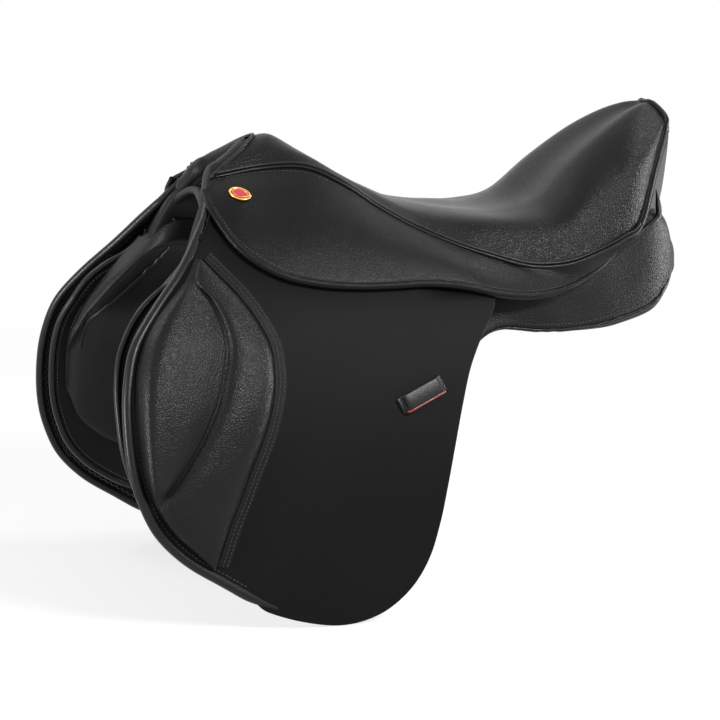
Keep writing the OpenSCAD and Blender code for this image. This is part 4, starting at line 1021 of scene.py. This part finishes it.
# rear to front: x, then four points w, z on the outer face, from the gullet over the top and down
panelRows = [
    [201, 44, 61, 54, 61, 61, 51, 63, 34], [190, 36, 82, 54, 88, 70, 74, 75, 22],
    [168, 34, 84, 52, 92, 80, 80, 89, 2], [128, 34, 52, 58, 70, 90, 58, 101, -8],
    [85, 34, 42, 64, 54, 101, 45, 106, -14], [40, 34, 36, 64, 44, 106, 31, 110, -12],
    [-5, 34, 38, 60, 40, 98, 24, 106, -10], [-45, 35, 46, 58, 48, 92, 32, 115, -44],
    [-85, 37, 56, 58, 58, 92, 38, 124, -92], [-130, 40, 70, 52, 67, 86, 42, 130, -126],
    [-175, 42, 82, 52, 72, 84, 44, 133, -146], [-215, 43, 88, 50, 76, 76, 46, 134, -152],
    [-250, 45, 96, 55, 80, 76, 58, 134, -152], [-272, 48, 90, 60, 77, 76, 61, 133, -148],
    [-290, 62, 68, 70, 64, 78, 58, 132, -144], [-308, 68, 50, 74, 46, 80, 40, 131, -136],
    [-326, 74, 32, 80, 27, 84, 20, 128, -124], [-342, 84, 10, 88, 5, 92, -2, 122, -108],
    [-352, 90, -12, 94, -18, 98, -26, 112, -84]]
# offsets w, z from those points to the face that bears on the horse
panelIn = [
    [-2, -26, -6, -34, -7, -26, -2, -4], [-2, -38, -10, -68, -14, -62, -3, -8],
    [0, -46, -4, -76, -18, -74, -5, -6], [0, -24, -8, -51, -26, -57, -5, -4],
    [0, -16, -12, -35, -28, -42, -4, -1], [0, -14, -12, -30, -29, -30, -4, 0],
    [0, -16, -10, -32, -26, -25, -6, -2], [0, -18, -10, -32, -24, -24, -12, -4],
    [-1, -20, -12, -28, -24, -18, -16, -4], [-2, -22, -14, -26, -24, -14, -16, -4],
    [-2, -22, -14, -24, -24, -12, -16, -4], [-2, -22, -14, -22, -24, -12, -16, -4],
    [-2, -20, -14, -18, -23, -12, -16, -4], [-4, -16, -16, -16, -23, -12, -16, -4],
    [-8, -8, -16, -12, -22, -12, -15, -4], [-8, -6, -16, -10, -22, -12, -15, -4],
    [-6, -6, -14, -9, -20, -10, -14, -4], [-5, -5, -11, -8, -15, -8, -11, -3],
    [-3, -3, -6, -5, -8, -5, -6, -2]]
panel = {"rounding": 11, "endReach": 4.0, "cord": 1.9, "topRoll": 3.0, "ridge": 1.5, "arch": 4.4,
         "unevenness": 0.9}


def underSweat(z):
    return sweatAt(z) - 3.8 - 4 * np.exp(-((z - 10) / 20) ** 2)


def panelOuter(u, v):
    u, v = alike(u, v)
    r = along(panelRows, u)
    x = r[..., 0]
    f, g = ease(-x / 40), ease((-x - 262) / 24)
    p0, w, z = r[..., 1:3], r[..., 3], r[..., 4]
    p1 = np.stack([mix(w, np.minimum(w, underSweat(z)), g), z], -1)
    p2, p3 = (np.stack([mix(r[..., k], underSweat(r[..., k + 1]), f), r[..., k + 1]], -1) for k in (5, 7))
    q = v * 3
    i = np.minimum(q.astype(int), 2)
    t = (q - i)[..., None]
    first, second = curve(2 * p0 - p1, p0, p1, p2, t), curve(p0, p1, p2, p3, t)
    c = np.where((i == 0)[..., None], first, np.where((i == 1)[..., None], second, mix(p2, p3, t)))
    under = underSweat(c[..., 1])
    w = mix(c[..., 0], np.where(i < 2, np.minimum(c[..., 0], under), under), f)
    return point(x, w, c[..., 1])


def panelInner(u, v):
    u, v = alike(u, v)
    d = along(panelIn, u)
    r = np.stack([d[..., k:k + 2] for k in (0, 0, 2, 4, 6, 6)], -2)
    r[..., 0, :] = 2 * d[..., 0:2] - d[..., 2:4]
    r[..., 5, :] = 2 * d[..., 6:8] - d[..., 4:6]
    o = across(r, v * 3)
    return panelOuter(u, v) + point(0 * u, o[..., 0], o[..., 1])


def panelSections(us, around=150):
    # round each section: outer face, down over the edge, back along the bearing face; even spacing,
    # then the corners are softened by averaging neighbours
    v = steps(0, 1, 70)
    loop = np.concatenate([panelOuter(us[:, None], v), panelInner(us[:, None], v[::-1])], 1)
    loop = np.concatenate([loop, loop[:, :1]], 1)
    at = steps(0, 1, around, endpoint=False)
    out = np.stack([sampled(p, s, at * s[-1]) for p, s in zip(loop, map(lengths, loop))])
    for _ in range(panel["rounding"]):
        out = (np.roll(out, 1, 1) + 2 * out + np.roll(out, -1, 1)) / 4
    return out


def makePanel(side):
    us = steps(0, 1, 210)
    body = panelSections(us)
    centre = body.mean(1, keepdims=True)
    away = unit(body - centre)
    waves = soft(body, 60, panel["unevenness"], 1.1) * ease((body[..., 0] + 300) / 90)
    waves = waves + soft(body, 30, 0.12, 0.2)
    body = body + away * waves[..., None]
    turn = np.radians([80, 60, 40, 20])
    reach = np.array([panel["endReach"], 0, 0])
    cap = lambda k, sign: [centre[k] + (body[k] - centre[k]) * math.cos(a) + sign * reach * math.sin(a)
                           for a in turn]
    tips = [[centre[k] + 0 * body[0] + sign * reach] for k, sign in ((0, 1), (-1, -1))]
    rings = np.stack(tips[0] + cap(0, 1) + list(body) + cap(-1, -1)[::-1] + tips[1])
    shape = (rings.reshape(-1, 3), cells(rings.shape[0], rings.shape[1], wrap=True))
    o = piece("stuffedPanel", shape, panelLeather, "root", side=side, replaces=["panel"])
    nor = unit(np.cross(np.gradient(body, axis=0), np.roll(body, -1, 1) - np.roll(body, 1, 1)))
    nor = nor * np.sign((nor * away).sum(-1).mean())
    laid = lambda line, n, lift: layOn(line, body, nor, n, lift)
    # welt along the lower outer edge, and the rolled seam above the gusset at the rear
    lowLine = panelOuter(steps(0.05, 0.335, 60), np.full(60, 0.985))
    thin = panel["cord"] * mix(0.3, 1, ease(np.minimum(steps(0, 9, 160), steps(9, 0, 160))))
    cords = [tube(laid(lowLine, 160, 0.4)[0], thin, (0, 0, 1), 10)]
    topLine = np.array([[178, 70, 112], [180, 71, 98], [178, 75, 86], [164, 82, 78], [145, 86, 67],
                        [125, 91, 57], [102, 98, 48], [75, 102, 41], [45, 106, 32], [10, 107, 26]])
    at = steps(0, 1, 150)
    p = mix(smoothPath(topLine, 150), laid(topLine, 150, 0.6)[0], ease(steps(-0.6, 5, 150))[:, None])
    cords.append(tube(p, panel["topRoll"] * ease(at * 8 + 0.25) * ease((1 - at) * 5 + 0.2), (0, 0, 1), 12))
    threads = [stitches(*laid(lowLine + [0, 0, 5.5], 160, 0.1), *seam["body"]),
               stitches(*laid(topLine[2:] + [0, 1.5, -6.5], 150, 0.1), *seam["body"])]
    # seams of the front, seen from the other side under the head
    p, m = laid([[-269, 69, 91], [-290, 82, 64], [-325, 94, 30], [-342, 99, 9], [-359, 113, -27]], 150, 0.1)
    threads += [stitches(p + shift, m, *seam["front"]) for shift in ([0, 0, 0], [3.0, 0, -3.0])]
    ridge = [[-268, 44, 95], [-264, 52, 81], [-276, 65, 54], [-306, 74, 23], [-340, 85, -9],
             [-350, 94, -40]]
    cords.append(tube(laid(ridge, 150, 0.3)[0], panel["ridge"], (0, 1, 0), 10))
    piece("panelCords", join(*cords), weltLeather, "root", side=side)
    piece("panelThread", join(*threads), greyThread, "root", side=side)


def makeArch():
    half = np.array([[-266, 61, 93], [-263, 46, 106], [-259, 22, 117]])
    path = smoothPath(np.vstack([half * [1, -1, 1], [[-257, 0, 120.5]], half[::-1]]), 110)
    r = panel["arch"] * mix(0.85, 1, ease(4 - np.abs(steps(-4.4, 4.4, 110))))
    verts, faces = tube(path, r, (1, 0, 0), 24)
    verts = verts + point(soft(verts, 30, 0.3), 0, soft(verts, 26, 0.3, 1.0))
    piece("panelArch", (verts, faces), panelLeather, "root", replaces=["panel_arch"])


blockRows = [[-316, 14, 6], [-325, 2, 16], [-333, -20, 21], [-337, -48, 23], [-336, -80, 23],
             [-328, -110, 20], [-316, -134, 14], [-308, -146, 6]]
block = {"foot": 2, "rise": 22}


def makeBlock(side):
    # pillow above the sweat flap: its rise times sin(pi u)^0.6 times (1 - |v|^3)^0.7
    u, v = grid(steps(0, 1, 60), steps(-1, 1, 40))
    r = along(blockRows, u)
    xz = np.stack([r[..., 0] + r[..., 2] * v, r[..., 1]], -1)
    swell = np.sin(math.pi * mix(0.03, 0.97, u)) ** 0.6
    h = block["foot"] + block["rise"] * swell * (1 - np.abs(v) ** 3) ** 0.7
    g = onSweat(xz, -1 - h)
    g = g + point(0, soft(g, 30, 0.4), 0)
    o = piece("kneeBlock", cushion(g, onSweat(xz, -0.6)), padLeather, "root", side=side,
              replaces=["knee_block"])


makeSeat()
makePommel()
makeLining()
makeCantle()
makeArch()
print("saddle: seat made")
for side in mirrored:
    for make in (makeFlap, makeKneePad, makeSkirt, makeBadge, makeKeeper, makeSweatFlap, makePanel,
                 makeBlock):
        make(side)
    print("saddle:", side, "side made")

# ---- finishes of the carried-over pieces ----

finishOf = {"tree": wood, "gullet_plate": darkSteel, "head_rivets": steel, "tree_springs": darkSteel,
            "straining_web": webbing, "seat_foam": foam, "stirrup_bar": steel, "bar_catch": steel,
            "girth_strap": strapLeather, "buckle_guard": strapLeather, "point_pocket": sweatLeather}
for node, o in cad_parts.items():
    found = [m for start, m in finishOf.items() if node.startswith(start)]
    if not found or o.hide_render:
        continue
    o.data.materials.clear()
    o.data.materials.append(found[-1])
    if node.startswith(("girth_strap", "buckle_guard", "stirrup_bar", "point_pocket", "tree_point")):
        weld = o.modifiers.new("weld", "WELD")
        weld.merge_threshold = 1e-5
        bevel = o.modifiers.new("edges", "BEVEL")
        bevel.width, bevel.segments, bevel.limit_method = 0.0006, 2, "ANGLE"
        bevel.angle_limit = math.radians(50)

# ---- floor, light and camera ----

ground = {"reach": 40.0, "level": -0.2515, "near": 1.6, "glow": 0.66, "pale": 0.42}


def whiteShare(tree):       # 1 where the camera, a gloss or a clear piece looks straight at the background
    rays = tree.nodes.new("ShaderNodeLightPath")
    total = rays.outputs["Is Camera Ray"]
    for kind in ("Is Glossy Ray", "Is Transmission Ray"):
        plus = tree.nodes.new("ShaderNodeMath")
        plus.operation, plus.use_clamp = "ADD", True
        tree.links.new(total, plus.inputs[0])
        tree.links.new(rays.outputs[kind], plus.inputs[1])
        total = plus.outputs[0]
    return total


floorPaint = Paint("floor")     # white far out; round the object it dims by its shadow only
seen = Wire(floorPaint, whiteShare(floorPaint.tree))
spot = floorPaint.node("ShaderNodeTexGradient", {"gradient_type": "SPHERICAL"},
                       {"Vector": floorPaint.stretched((1 / ground["near"],) * 3)}, out=1)
far = floorPaint.node("ShaderNodeEmission", {}, {"Color": (1, 1, 1, 1), "Strength": 1.0})
glow = floorPaint.node("ShaderNodeEmission", {}, {"Color": (1, 1, 1, 1), "Strength": ground["glow"]})
pale = floorPaint.node("ShaderNodeBsdfDiffuse", {}, {"Color": (ground["pale"],) * 3 + (1,)})
near = floorPaint.node("ShaderNodeAddShader", {}, {0: glow, 1: pale})
lit = floorPaint.node("ShaderNodeMixShader", {}, {0: (spot * 2.0).held(), 1: far, 2: near})
shown = floorPaint.node("ShaderNodeMixShader", {}, {0: seen, 1: pale, 2: lit})
floorMesh = bpy.data.meshes.new("floor")
reach, level = ground["reach"], ground["level"]
corners = [(x * reach, y * reach, level) for x, y in ((-1, -1), (1, -1), (1, 1), (-1, 1))]
floorMesh.from_pydata(corners, [], [(0, 1, 2, 3)])
floorMesh.materials.append(floorPaint.close(shown))
add("floor", floorMesh)

world = bpy.data.worlds.new("studio")
bpy.context.scene.world = world
world.use_nodes = True
sky = world.node_tree
sky.nodes.clear()
both, skyOut = sky.nodes.new("ShaderNodeMixShader"), sky.nodes.new("ShaderNodeOutputWorld")
sky.links.new(whiteShare(sky), both.inputs[0])
for k, strength in ((1, 0.25), (2, 1.0)):      # the light that falls on the object, and the white behind it
    glowing = sky.nodes.new("ShaderNodeBackground")
    glowing.inputs["Color"].default_value, glowing.inputs["Strength"].default_value = (1, 1, 1, 1), strength
    sky.links.new(glowing.outputs[0], both.inputs[k])
sky.links.new(both.outputs[0], skyOut.inputs[0])

lamps = {   # place in metres, width, height, watts
    "left": ((-2.1, -0.45, 0.1), 0.36, 0.9, 38),
    "right": ((2.05, -0.25, 0.15), 0.36, 0.9, 34),
    "above": ((0.62, -1.95, 1.2), 0.8, 0.4, 42),
    "top": ((1.45, -0.05, 1.8), 0.45, 0.35, 12),
    "behind": ((-1.5, 1.1, 1.6), 0.7, 0.5, 9)}
aim = Vector((-0.09, 0, -0.02))
for name, (where, wide, tall, watts) in lamps.items():
    data = bpy.data.lights.new(name, "AREA")
    data.shape, data.size, data.size_y, data.energy = "RECTANGLE", wide, tall, watts
    lamp = add(name, data)
    lamp.location = where
    lamp.rotation_euler = (aim - Vector(where)).to_track_quat("-Z", "Y").to_euler()

view = {"azimuth": -20, "elevation": 10, "distance": 2.6, "target": (-0.09, 0, -0.03), "lens": 136.5,
        "shift": (-0.0092, -0.0269)}
a, e = math.radians(view["azimuth"]), math.radians(view["elevation"])
back = Vector((math.sin(a) * math.cos(e), -math.cos(a) * math.cos(e), math.sin(e)))
cameraData = bpy.data.cameras.new("camera")
cameraData.lens, cameraData.sensor_width = view["lens"], 36
cameraData.shift_x, cameraData.shift_y = view["shift"]
camera = add("camera", cameraData)
camera.location = Vector(view["target"]) + back * view["distance"]
camera.rotation_euler = (-back).to_track_quat("-Z", "Y").to_euler()
bpy.context.scene.camera = camera
bpy.context.scene.view_settings.view_transform = "Standard"

print("saddle: dressed")
